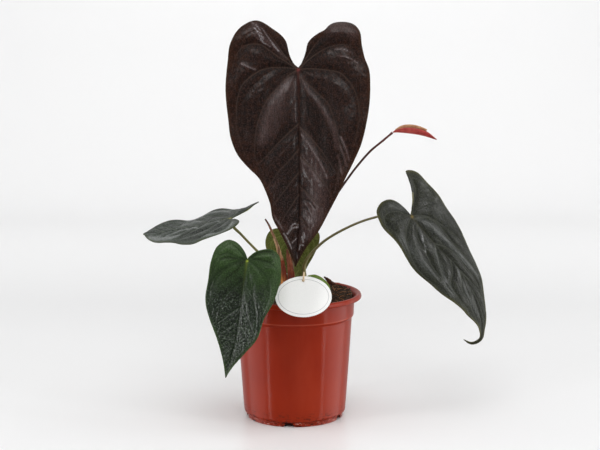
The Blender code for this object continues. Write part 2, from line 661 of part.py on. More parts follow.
PEDUNCLE = [(6, 17, 130, 1.5), (9.5, 22, 145, 1.3), (14.5, 22, 160, 1.2), (25, 16, 178.5, 1.1),
            (44, 8, 209.6, 1.0), (56.6, 9, 226.5, 1.0), (68, 10, 239.3, 1.0),
            (79, 10, 248.5, 1.0), (86.7, 10, 255.1, 1.1)]
SPATHE = [
    (87.4, 10, 255.6, 0.6), (89.8, 10, 255.8, 3.4), (95, 10, 255.6, 7.4), (103, 10, 254.8, 8.8),
    (112, 10, 253.4, 8.2), (119, 10, 251.6, 5.8), (124, 10, 250.0, 2.6), (126.6, 10, 249.2, 0.5)]
SPADIX = [(90.3, 10, 257.7, 1.2), (96, 10, 260.3, 1.8), (104, 10, 261.0, 1.8),
          (112, 10, 259.4, 1.6), (117.5, 10, 257.6, 0.9)]


def strap_object(name, rows, cup, face, material, columns=6, count=15, thickness=0.7):
    """A cupped blade along rows of (x, y, z, half width). Cup is its bend in degrees each side."""
    read = read_curve(rows, np.linspace(0.0, 1.0, count))
    spots = read[:, :3]
    direction = unit(np.gradient(spots, axis=0))
    face = np.asarray(face, dtype=float)
    normal = unit(face - direction * (direction @ face)[:, None])
    side = np.cross(normal, direction)
    vertices = []
    faces = []
    for i in range(count):
        share = i / (count - 1)
        turn = math.radians(np.interp(share, [k[0] for k in cup], [k[1] for k in cup]))
        turn = max(abs(turn), 1e-3)
        reach = read[i, 3]
        for j in range(columns + 1):
            u = 2 * j / columns - 1
            across = reach * math.sin(turn * abs(u)) / turn * math.copysign(1, u)
            rise = reach * (1 - math.cos(turn * u)) / turn
            vertices.append(tuple(spots[i] + side[i] * across + normal[i] * rise))
    stride = columns + 1
    for i in range(count - 1):
        for j in range(columns):
            p = i * stride + j
            faces.append([p, p + stride, p + stride + 1])
            faces.append([p, p + stride + 1, p + 1])
    mesh = bpy.data.meshes.new(name)
    mesh.from_pydata([tuple(MM * c for c in v) for v in vertices], [], faces)
    mesh.shade_smooth()
    mesh.materials.append(material)
    made = bpy.data.objects.new(name, mesh)
    bpy.context.collection.objects.link(made)
    thick = made.modifiers.new("thickness", "SOLIDIFY")
    thick.thickness = thickness * MM
    thick.offset = 0.0
    return made


def make_flower():
    stalk = plain_material("peduncle_skin", (0.18, 0.05, 0.04), 0.45)
    bract = plain_material("spathe_skin", (0.50, 0.06, 0.05), 0.35)
    spike = plain_material("spadix_skin", (0.50, 0.25, 0.14), 0.6)
    route = [(*crown_seat(58, 56, 0.0), 1.9), (*crown_seat(58, 56, 6.0), 1.8)]
    stalk_object("peduncle", route + PEDUNCLE, stalk, count=18)
    strap_object("spathe", SPATHE, ((0, 70), (0.4, 84), (0.8, 80), (1, 60)), (0, 0, 1), bract)
    stalk_object("spadix", SPADIX, spike, count=9)


# Dry sheaths at the foot of the petioles

def sheath_foot(azimuth, half_width):
    """Rows that bring a sheath out of the crown's neck and turn it upwards."""
    around = math.radians(azimuth)
    rows = []
    for reach, rise, share in ((CROWN_NECK + SEAT_GAP + 0.1, 0.0, 0.45),
                               (CROWN_NECK + 2.7, 0.7, 0.62), (CROWN_NECK + 4.6, 4.3, 1.0)):
        rows.append((CROWN_X + reach * math.cos(around), CROWN_Y + reach * math.sin(around),
                     SHEATH_FOOT_Z + rise, half_width * share))
    return rows


def make_cataphylls():
    dry = plain_material("dry_sheath", (0.50, 0.28, 0.13), 0.7)
    tall = [(-10.2, -9.8, 124, 3.7), (-11.6, -10, 140, 3.4), (-14.5, -11, 153, 2.8),
            (-19.5, -12, 168, 2.0), (-23.5, -12, 177, 1.1), (-26.0, -12, 181, 0.5)]
    short = [(-3.0, -12.4, 122, 3.4), (-3.4, -12.6, 134, 3.0), (-5.0, -12.8, 144, 2.2),
             (-6.6, -12.8, 154, 0.5)]
    back = [(-12.1, 10.4, 118, 3.0), (-15.0, 12.5, 129, 2.0), (-17.5, 14.0, 137, 0.5)]
    cup = ((0, 2), (0.15, 40), (0.5, 35), (1, 10))
    strap_object("cataphyll_tall", sheath_foot(-128, 3.2) + tall, cup, (0.5, 0.8, 0.6), dry,
                 columns=4, count=16)
    strap_object("cataphyll_short", sheath_foot(-93, 3.0) + short, cup, (0.1, 0.9, 0.6), dry,
                 columns=4, count=14)
    strap_object("cataphyll_back", sheath_foot(132, 3.0) + back, cup, (0.7, -0.5, 0.6), dry,
                 columns=4, count=13)


# Tag and twine

def tag_place(across, up, out):
    """World place on the tag: across to the right, up the card, out towards the front."""
    lean = math.radians(TAG_LEAN)
    roll = math.radians(TAG_ROLL)
    x = across * math.cos(roll) + up * math.sin(roll)
    z = up * math.cos(roll) - across * math.sin(roll)
    return (TAG_CENTRE[0] + x,
            TAG_CENTRE[1] + z * math.sin(lean) - out * math.cos(lean),
            TAG_CENTRE[2] + z * math.cos(lean) + out * math.sin(lean))


def make_tag():
    """An oval card with a round hole for the twine near its top edge."""
    card = plain_material("white_card", (0.85, 0.85, 0.83), 0.55)
    sides = 48
    hole_sides = 12
    hole_up = TAG_HEIGHT / 2 - TAG_HOLE_DROP
    work = bmesh.new()
    outer = []
    inner = []
    for i in range(sides):
        angle = 2 * math.pi * i / sides
        outer.append(work.verts.new((TAG_WIDTH / 2 * math.cos(angle),
                                     TAG_HEIGHT / 2 * math.sin(angle), 0.0)))
    for i in range(hole_sides):
        angle = 2 * math.pi * i / hole_sides
        inner.append(work.verts.new((TAG_HOLE_RADIUS * math.cos(angle),
                                     hole_up + TAG_HOLE_RADIUS * math.sin(angle), 0.0)))
    edges = [work.edges.new((outer[i], outer[(i + 1) % sides])) for i in range(sides)]
    edges += [work.edges.new((inner[i], inner[(i + 1) % hole_sides])) for i in range(hole_sides)]
    bmesh.ops.triangle_fill(work, edges=edges, use_beauty=True)
    front = list(work.faces)
    grown = bmesh.ops.extrude_face_region(work, geom=front)
    for item in grown["geom"]:
        if isinstance(item, bmesh.types.BMVert):
            item.co.z -= TAG_THICKNESS
    bmesh.ops.recalc_face_normals(work, faces=work.faces)
    for vertex in work.verts:
        vertex.co = Vector(tag_place(*vertex.co)) * MM
    mesh = bpy.data.meshes.new("tag")
    work.to_mesh(mesh)
    work.free()
    mesh.materials.append(card)
    made = bpy.data.objects.new("tag", mesh)
    bpy.context.collection.objects.link(made)
    return made


def twine_route():
    """From the crown's neck over the card, down its face, through the hole and back."""
    hole_up = TAG_HEIGHT / 2 - TAG_HOLE_DROP
    front = [tag_place(0.6, hole_up + 6.5, 0.2), tag_place(0.4, hole_up + 3.0, 1.4),
             tag_place(0.2, hole_up + 0.6, 1.0), tag_place(0.2, hole_up - 0.2, -0.6),
             tag_place(0.6, hole_up + 0.2, -2.6)]
    out = [neck_place(-36, 0.0, 108.0), neck_place(-36, 2.4, 107.4), (5.6, -9.5, 106.9),
           (4.6, -16, 106.9), (3.0, -24, 110.0), (2.0, -34, 116.5), (4.5, -45, 126),
           (7.5, -52.5, 136)]
    home = [(5.0, -51, 129), (1.0, -43.5, 119.5), (-1.2, -34, 112.5), (-1.4, -25, 108.3),
            (0.6, -17, 106.7), (1.3, -12.5, 106.7), neck_place(-66, 2.5, 107.1),
            neck_place(-66, 0.0, 107.6)]
    return out + front + home


def neck_place(azimuth, lift, height):
    """A point in front of the crown's neck, which widens upwards to the dome."""
    around = math.radians(azimuth)
    share = (height - CROWN_DOME_Z + 3.0) / 3.0
    reach = CROWN_NECK + share * (CROWN_RADIUS - CROWN_NECK) + SEAT_GAP + lift
    return (CROWN_X + reach * math.cos(around), CROWN_Y + reach * math.sin(around), height)


def make_twine():
    jute = plain_material("jute", (0.55, 0.40, 0.24), 0.9)
    route = [(*spot, TWINE_DIAMETER / 2) for spot in twine_route()]
    return stalk_object("tag_twine", route, jute, count=44, crowd_ends=False)


def main():
    clear_scene()
    make_pot()
    make_soil()
    make_crown()
    make_leaves()
    make_petioles()
    make_flower()
    make_cataphylls()
    make_tag()
    make_twine()


main()
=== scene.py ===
# %% [markdown]
# A potted anthurium: dark heart-shaped leaves, a slim red flower and a terracotta-coloured pot.
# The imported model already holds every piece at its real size. This lesson keeps those sizes and
# gives each piece its fine form and its finish: quilted and veined blades, twisted twine,
# crumbly soil and a moulded pot. Lengths are in millimetres, and MM turns them into metres.

# %% Load the model as a fixed frame
from math import copysign, cos, exp, hypot, pi, radians, sin

import bpy
import numpy as np
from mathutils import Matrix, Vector, noise
from mathutils.kdtree import KDTree


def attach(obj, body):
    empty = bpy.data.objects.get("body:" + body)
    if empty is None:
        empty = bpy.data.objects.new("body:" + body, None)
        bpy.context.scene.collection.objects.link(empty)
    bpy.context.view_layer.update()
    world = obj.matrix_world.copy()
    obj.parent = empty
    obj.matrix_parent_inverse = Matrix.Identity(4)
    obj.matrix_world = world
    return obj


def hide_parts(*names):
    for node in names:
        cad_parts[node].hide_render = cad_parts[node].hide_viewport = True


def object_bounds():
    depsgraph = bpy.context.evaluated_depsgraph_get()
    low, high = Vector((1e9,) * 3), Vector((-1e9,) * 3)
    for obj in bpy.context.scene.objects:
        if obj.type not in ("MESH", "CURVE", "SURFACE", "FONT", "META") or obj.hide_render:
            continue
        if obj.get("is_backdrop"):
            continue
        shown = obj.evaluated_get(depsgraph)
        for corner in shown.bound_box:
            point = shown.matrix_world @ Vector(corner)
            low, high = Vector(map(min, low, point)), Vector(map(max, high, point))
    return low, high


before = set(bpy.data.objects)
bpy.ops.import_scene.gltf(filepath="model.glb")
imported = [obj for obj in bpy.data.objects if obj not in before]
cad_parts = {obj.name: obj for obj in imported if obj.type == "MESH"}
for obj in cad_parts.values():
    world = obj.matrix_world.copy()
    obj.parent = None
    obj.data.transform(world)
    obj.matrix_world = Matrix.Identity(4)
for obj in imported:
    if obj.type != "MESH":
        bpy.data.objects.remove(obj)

MM = 0.001
BODY = "root"
cad_low, cad_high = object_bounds()
print("CAD nodes:", len(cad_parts))

# %% [markdown]
# The camera stands 1.3 m in front of the plant and looks slightly down on it, through a lens of
# about 90 mm. That long lens is why the pot's sides look almost parallel.

# %% Camera
CAMERA_PLACE = (0.0048, -1.3, 0.378)
CAMERA_TILT = 81.07
CAMERA_LENS = 88.5
SENSOR_WIDTH = 36


def add_to_scene(name, data):
    made = bpy.data.objects.new(name, data)
    bpy.context.scene.collection.objects.link(made)
    return made


camera = add_to_scene("camera", bpy.data.cameras.new("camera"))
camera.data.lens = CAMERA_LENS
camera.data.sensor_width = SENSOR_WIDTH
camera.location = CAMERA_PLACE
camera.rotation_euler = (radians(CAMERA_TILT), 0, 0)
bpy.context.scene.camera = camera
bpy.context.scene.view_settings.view_transform = "Standard"
print("camera height:", CAMERA_PLACE[2], "m")

# %% [markdown]
# Stalks, straps and twine all follow a smooth line through a few chosen points. A cubic curve
# that passes through every point does this: each span is a blend of its two ends and of the
# slopes there. The slopes are the weighted means of the neighbouring spans' slopes.

# %% Read a smooth curve through points


def read_keyed(knots, rows, places):
    """Rows read at places from a smooth curve that passes each row at its knot."""
    knots = np.asarray(knots, dtype=float)
    rows = np.asarray(rows, dtype=float)
    places = np.asarray(places, dtype=float)
    gaps = np.diff(knots)[:, None]
    lean = np.diff(rows, axis=0) / gaps
    slopes = np.empty_like(rows)
    slopes[0] = lean[0]
    slopes[-1] = lean[-1]
    before = gaps[:-1]
    after = gaps[1:]
    slopes[1:-1] = (lean[:-1] * after + lean[1:] * before) / (before + after)
    span = np.clip(np.searchsorted(knots, places, side="right") - 1, 0, len(knots) - 2)
    width = gaps[span]
    u = ((places - knots[span])[:, None]) / width
    low = rows[span]
    high = rows[span + 1]
    return (low * (2 * u**3 - 3 * u**2 + 1) + high * (3 * u**2 - 2 * u**3)
            + width * (slopes[span] * (u**3 - 2 * u**2 + u) + slopes[span + 1] * (u**3 - u**2)))


def read_curve(points, places):
    """Rows read at places (0 to 1 by chord length) from a smooth curve through the points."""
    rows = np.asarray(points, dtype=float)
    steps = np.linalg.norm(np.diff(rows[:, :3], axis=0), axis=1)
    knots = np.concatenate(([0], np.cumsum(steps)))
    return read_keyed(knots / knots[-1], rows, places)


def unit(rows):
    return rows / np.linalg.norm(rows, axis=-1, keepdims=True)


def line_length(points):
    return float(np.sum(np.linalg.norm(np.diff(points, axis=0), axis=1)))


print("a straight line of 3 and 4:", line_length(np.array([(0, 0, 0), (3, 4, 0)])))

# %% [markdown]
# Most meshes in this lesson go through one function. It takes numpy vertices in millimetres and
# a list of faces, and can store values on the vertices. Materials read those values later. The
# stalks' chains of edges are made on their own.

# %% Make a mesh object


def grid_faces(rows, columns, closed=False, start=0):
    """Faces of a grid of points, row by row. A closed one joins the end of a row to its start."""
    faces = []
    for p in range(start, start + (rows - 1) * columns, columns):
        for j in range(columns if closed else columns - 1):
            k = (j + 1) % columns
            faces.append((p + j, p + k, p + columns + k, p + columns + j))
    return faces


def flipped(faces):
    """The same faces turned over, each from the same first corner."""
    return [face[:1] + face[:0:-1] for face in faces]


def make_object(name, vertices, faces, materials, values=None, flat_map=None, smooth=True):
    """A mesh object at the origin. Values go to point attributes and flat_map to a UV map."""
    mesh = bpy.data.meshes.new(name)
    mesh.from_pydata((np.asarray(vertices) * MM).tolist(), [], faces)
    for key, numbers in (values or {}).items():
        layer = mesh.attributes.new(key, "FLOAT", "POINT")
        layer.data.foreach_set("value", np.asarray(numbers, dtype=np.float32).ravel())
    if flat_map is not None:
        corners = np.empty(len(mesh.loops), dtype=np.int32)
        mesh.loops.foreach_get("vertex_index", corners)
        layer = mesh.uv_layers.new(name="flat")
        layer.data.foreach_set("uv", np.asarray(flat_map, dtype=np.float32)[corners].ravel())
    for material in materials:
        mesh.materials.append(material)
    if smooth:
        mesh.shade_smooth()
    return add_to_scene(name, mesh)


def settle(made):
    """Applies what modifiers an object has, so that a plain mesh is left."""
    graph = bpy.context.evaluated_depsgraph_get()
    plain = bpy.data.meshes.new_from_object(made.evaluated_get(graph), depsgraph=graph)
    plain.name = made.name
    made.modifiers.clear()
    made.data = plain
    return made


def finish_piece(made, slot, *nodes):
    """Hands a finished piece over: it rides on the plant's one body and stands for its nodes."""
    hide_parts(*nodes)
    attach(made, BODY)
    made.data.calc_loop_triangles()
    print(made.name, len(made.data.loop_triangles), "triangles")
    return made

# %% [markdown]
# Materials share a few small helpers. Each adds one node and gives back its output as a wire, and
# a plus or times sign between wires adds one too. So a material reads like a recipe: take some
# noise, pick out its peaks, mix in a colour.

# %% Shader helpers


def tint(red, green, blue):
    """A colour picked on a 0 to 255 scale, as the linear colour that shaders use."""
    shares = [c / 255 for c in (red, green, blue)]
    return (*[c / 12.92 if c <= 0.04045 else ((c + 0.055) / 1.055) ** 2.4 for c in shares], 1)


class Wire:
    """One output of a node. Signs between wires and numbers add Math nodes."""

    def __init__(self, socket):
        self.socket = socket
        self.tree = socket.id_data

    def __add__(self, other):
        return maths("ADD", self, other)

    def __sub__(self, other):
        return maths("SUBTRACT", self, other)

    def __rsub__(self, other):
        return maths("SUBTRACT", other, self)

    def __mul__(self, other):
        return maths("MULTIPLY", self, other)


class Wires:
    """The outputs of a node, each given back as a wire by its number or name."""

    def __init__(self, outputs):
        self.outputs = outputs

    def __getitem__(self, key):
        return Wire(self.outputs[key])


def feed(socket, value):
    """Links a wire to a socket or sets a plain value. A colour of three numbers is a tint."""
    if isinstance(value, Wire):
        socket.id_data.links.new(value.socket, socket)
    elif socket.type == "RGBA" and len(value) == 3:
        socket.default_value = tint(*value)
    else:
        socket.default_value = value


def step(tree, kind, values=(), **settings):
    """Adds a node, sets its properties, feeds its inputs by name or number, gives its outputs."""
    made = tree.nodes.new(kind)
    for key, value in settings.items():
        setattr(made, key, value)
    for label, value in dict(values).items():
        named = (s for s in made.inputs if s.name == label and s.enabled)
        feed(made.inputs[label] if isinstance(label, int) else next(named), value)
    return Wires(made.outputs)


def maths(operation, *values):
    tree = next(value.tree for value in values if isinstance(value, Wire))
    return step(tree, "ShaderNodeMath", enumerate(values), operation=operation)[0]


def mix(share, under, over):
    return step(share.tree, "ShaderNodeMix", {0: share, 6: under, 7: over}, data_type="RGBA",
                clamp_factor=True)[2]


def span(value, low, high, out_low=0, out_high=1):
    """Turns value between low and high into out_low to out_high, and holds it there outside."""
    return step(value.tree, "ShaderNodeMapRange",
                enumerate((value, low, high, out_low, out_high)))[0]


def cloud(place, scale, detail=3, roughness=0.55):
    return step(place.tree, "ShaderNodeTexNoise", {
        "Vector": place, "Scale": scale, "Detail": detail, "Roughness": roughness})["Fac"]


def cells(place, scale):
    """How far each point is from the edges of a pattern of cells."""
    return step(place.tree, "ShaderNodeTexVoronoi", {"Vector": place, "Scale": scale},
                feature="DISTANCE_TO_EDGE")["Distance"]


def stretch(place, scale):
    return step(place.tree, "ShaderNodeMapping", {"Vector": place, "Scale": scale})[0]


def stored(tree, name):
    return step(tree, "ShaderNodeAttribute", attribute_name=name)["Fac"]


def object_place(tree):
    return step(tree, "ShaderNodeTexCoord")["Object"]


def flat_place(tree):
    return step(tree, "ShaderNodeUVMap", uv_map="flat")[0]

# %% Make materials and shared groups


def new_group(name, inputs, outputs, kind="ShaderNodeTree"):
    """A node group whose sockets are given as label and kind. Gives its tree and both ends."""
    tree = bpy.data.node_groups.new(name, kind)
    for way, sockets in (("INPUT", inputs), ("OUTPUT", outputs)):
        for label, sort in sockets:
            tree.interface.new_socket(label, in_out=way, socket_type="NodeSocket" + sort)
    enter = tree.nodes.new("NodeGroupInput")
    leave = tree.nodes.new("NodeGroupOutput")
    return tree, Wires(enter.outputs), leave.inputs


def use_group(tree, group, **values):
    """Places a shared group in a material. Underscores in the keywords stand for spaces."""
    values = {key.replace("_", " "): value for key, value in values.items()}
    return step(tree, "ShaderNodeGroup", values, node_tree=group)


def new_material(name, **settings):
    """A material and its tree and Principled shader. Settings are plain values on its sockets."""
    made = bpy.data.materials.new(name)
    made.use_nodes = True
    shader = made.node_tree.nodes["Principled BSDF"]
    for key, value in settings.items():
        shader.inputs[key.replace("_", " ")].default_value = value
    return made, made.node_tree, shader


def dress(shader, colour, roughness, height, strength, depth):
    """Feeds colour and roughness, and turns height into a bump of that depth in millimetres."""
    feed(shader.inputs["Base Color"], colour)
    feed(shader.inputs["Roughness"], roughness)
    bump = step(shader.id_data, "ShaderNodeBump",
                {"Strength": strength, "Distance": depth * MM, "Height": height})
    feed(shader.inputs["Normal"], bump[0])

# %% [markdown]
# The twine comes first, because it is the one piece here that hangs free. It is jute: three
# thin strands twisted round each other, tied to the plant's short stem at both ends. It rises
# behind the card, goes over its top edge, down its face and back through the hole.

# %% Where the card and the twine's ends are
CROWN_X = -3
CROWN_Y = 0
CROWN_RADIUS = 8
CROWN_NECK = 6.8
CROWN_DOME_Z = 110
SEAT_GAP = 0.3
TAG_WIDTH = 48.4
TAG_HEIGHT = 35.2
TAG_THICKNESS = 0.6
TAG_CENTRE = (7.8, -59.8, 120.8)
TAG_LEAN = 6
TAG_ROLL = -0.8
TAG_HOLE_DROP = 3.6


def tag_place(across, up, out):
    """World place on the card: across to the right, up the card, out towards the front."""
    lean = radians(TAG_LEAN)
    roll = radians(TAG_ROLL)
    x = across * cos(roll) + up * sin(roll)
    z = up * cos(roll) - across * sin(roll)
    return (TAG_CENTRE[0] + x,
            TAG_CENTRE[1] + z * sin(lean) - out * cos(lean),
            TAG_CENTRE[2] + z * cos(lean) + out * sin(lean))


def neck_place(azimuth, lift, height):
    """A point in front of the stem's neck, which widens upwards to its dome."""
    around = radians(azimuth)
    share = (height - CROWN_DOME_Z + 3) / 3
    reach = CROWN_NECK + share * (CROWN_RADIUS - CROWN_NECK) + SEAT_GAP + lift
    return (CROWN_X + reach * cos(around), CROWN_Y + reach * sin(around), height)


def twine_route():
    """From the stem's neck over the card, down its face, through the hole and back."""
    hole_up = TAG_HEIGHT / 2 - TAG_HOLE_DROP
    front = [tag_place(0.6, hole_up + 6.5, 0.2), tag_place(0.4, hole_up + 3, 1.4),
             tag_place(0.2, hole_up + 0.6, 1), tag_place(0.2, hole_up - 0.2, -0.6),
             tag_place(0.6, hole_up + 0.2, -2.6)]
    out = [neck_place(-36, 0, 108), neck_place(-36, 2.4, 107.4), (5.6, -9.5, 106.9),
           (4.6, -16, 106.9), (3, -24, 110), (2, -34, 116.5), (4.5, -45, 126),
           (7.5, -52.5, 136)]
    home = [(5, -51, 129), (1, -43.5, 119.5), (-1.2, -34, 112.5), (-1.4, -25, 108.3),
            (0.6, -17, 106.7), (1.3, -12.5, 106.7), neck_place(-66, 2.5, 107.1),
            neck_place(-66, 0, 107.6)]
    return out + front + home

# %% Round tubes
def frames_along(points):
    """The direction at each point and two sides square to it, carried along without twisting."""
    ahead = unit(np.gradient(points, axis=0))
    side = np.empty_like(points)
    start = np.cross(ahead[0], (0.31, 0.21, 0.93))
    side[0] = start / np.linalg.norm(start)
    for i in range(1, len(points)):
        carried = side[i - 1] - ahead[i] * (side[i - 1] @ ahead[i])
        side[i] = carried / np.linalg.norm(carried)
    return ahead, side, np.cross(ahead, side)


def tube(points, radii, sides):
    """Vertices and faces of a closed tube. Radii is one number, or one for each point."""
    _, side, up = frames_along(points)
    turn = 2 * pi * np.arange(sides) / sides
    radii = np.broadcast_to(np.reshape(radii, (-1, 1)), (len(points), sides))
    ring = (side[:, None] * np.cos(turn)[None, :, None]
            + up[:, None] * np.sin(turn)[None, :, None])
    vertices = (points[:, None] + ring * radii[:, :, None]).reshape(-1, 3)
    last = (len(points) - 1) * sides
    ends = [tuple(reversed(range(sides))), tuple(range(last, last + sides))]
    return vertices, grid_faces(len(points), sides, closed=True) + ends


def joined(parts):
    """One list of vertices and faces from several."""
    vertices = []
    faces = []
    count = 0
    for part_vertices, part_faces in parts:
        vertices.append(part_vertices)
        faces += [tuple(count + i for i in face) for face in part_faces]
        count += len(part_vertices)
    return np.concatenate(vertices), faces

# %% [markdown]
# Jute is pale brown, dull and hairy. Its material mixes two straw tones along the fibres, and a
# few loose fibres stand off the twine as very thin tubes of their own.

# %% Twine
TWINE_POINTS = 260
TWINE_LAY = 4.2
TWINE_SLACK = 0.4
STRAND_RADIUS = 0.36
STRAND_OFFSET = 0.33
LOOSE_FIBRES = 46


def jute_material():
    made, tree, shader = new_material("jute_twine", Specular_IOR_Level=0.15)
    place = object_place(tree)
    fibre = cloud(place, 2600, 4, 0.7)
    patch = cloud(place, 240, 2)
    colour = mix(span(fibre, 0.35, 0.65), (186, 156, 118), (240, 220, 188))
    colour = mix(span(patch, 0.45, 0.8, 0, 0.4), colour, (140, 106, 74))
    dress(shader, colour, span(fibre, 0.2, 0.8, 0.75, 0.95), fibre, 0.6, 0.12)
    return made


def loose_fibre(centre, frames, rng):
    """A short hair that leaves the twine and curls away from it."""
    ahead, side, up = frames
    at = rng.integers(12, len(centre) - 12)
    turn = rng.uniform(0, 2 * pi)
    away = side[at] * cos(turn) + up[at] * sin(turn)
    reach = rng.uniform(0.5, 1.1)
    lean = ahead[at] * rng.choice((-1, 1)) * rng.uniform(0.8, 1.8)
    points = [centre[at] + away * 0.5, centre[at] + away * (0.6 + 0.4 * reach) + lean * 0.5,
              centre[at] + away * (0.6 + 0.6 * reach) + lean]
    return tube(read_curve(points, np.linspace(0, 1, 6)), 0.035, 4)


def make_twine():
    centre = read_curve(twine_route(), np.linspace(0, 1, TWINE_POINTS))
    frames = frames_along(centre)
    run = np.concatenate(([0], np.cumsum(np.linalg.norm(np.diff(centre, axis=0), axis=1))))
    parts = []
    hole = np.array(tag_place(0, TAG_HEIGHT / 2 - TAG_HOLE_DROP, 0))
    slack = 1 + TWINE_SLACK * np.exp(-(np.linalg.norm(centre - hole, axis=1) / 4) ** 2)
    for strand in range(3):
        turn = 2 * pi * (run / TWINE_LAY + strand / 3)
        middle = centre + STRAND_OFFSET * slack[:, None] * (frames[1] * np.cos(turn)[:, None]
                                                            + frames[2] * np.sin(turn)[:, None])
        parts.append(tube(middle, STRAND_RADIUS * slack, 8))
    rng = np.random.default_rng(11)
    parts += [loose_fibre(centre, frames, rng) for _ in range(LOOSE_FIBRES)]
    vertices, faces = joined(parts)
    twine = make_object("jute_twine", vertices, faces, [jute_material()])
    (centre[0] * MM).tolist()
    (centre * MM).tolist()
    print("twine length:", round(line_length(centre)), "mm")
    return finish_piece(twine, "jute", "tag_twine")


make_twine()

# %% [markdown]
# The blades are the main thing to see. Each is heart-shaped: a stalk meets it between two lobes,
# and veins fan out of that joint and off the midrib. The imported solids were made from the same
# numbers as here: a spine in space with a face normal, and the margin of each half. Repeating
# them lets a much finer mesh follow the same surface, so nothing moves.
# Spine rows are x, y, z, the face normal, the fold of each half in degrees, and its curl in
# degrees for 10 mm. Margins are pairs of along and across, from the notch round the lobe to the
# tip. A lobe bend says how far a lobe bends back, from what length behind the joint, and over
# what length.

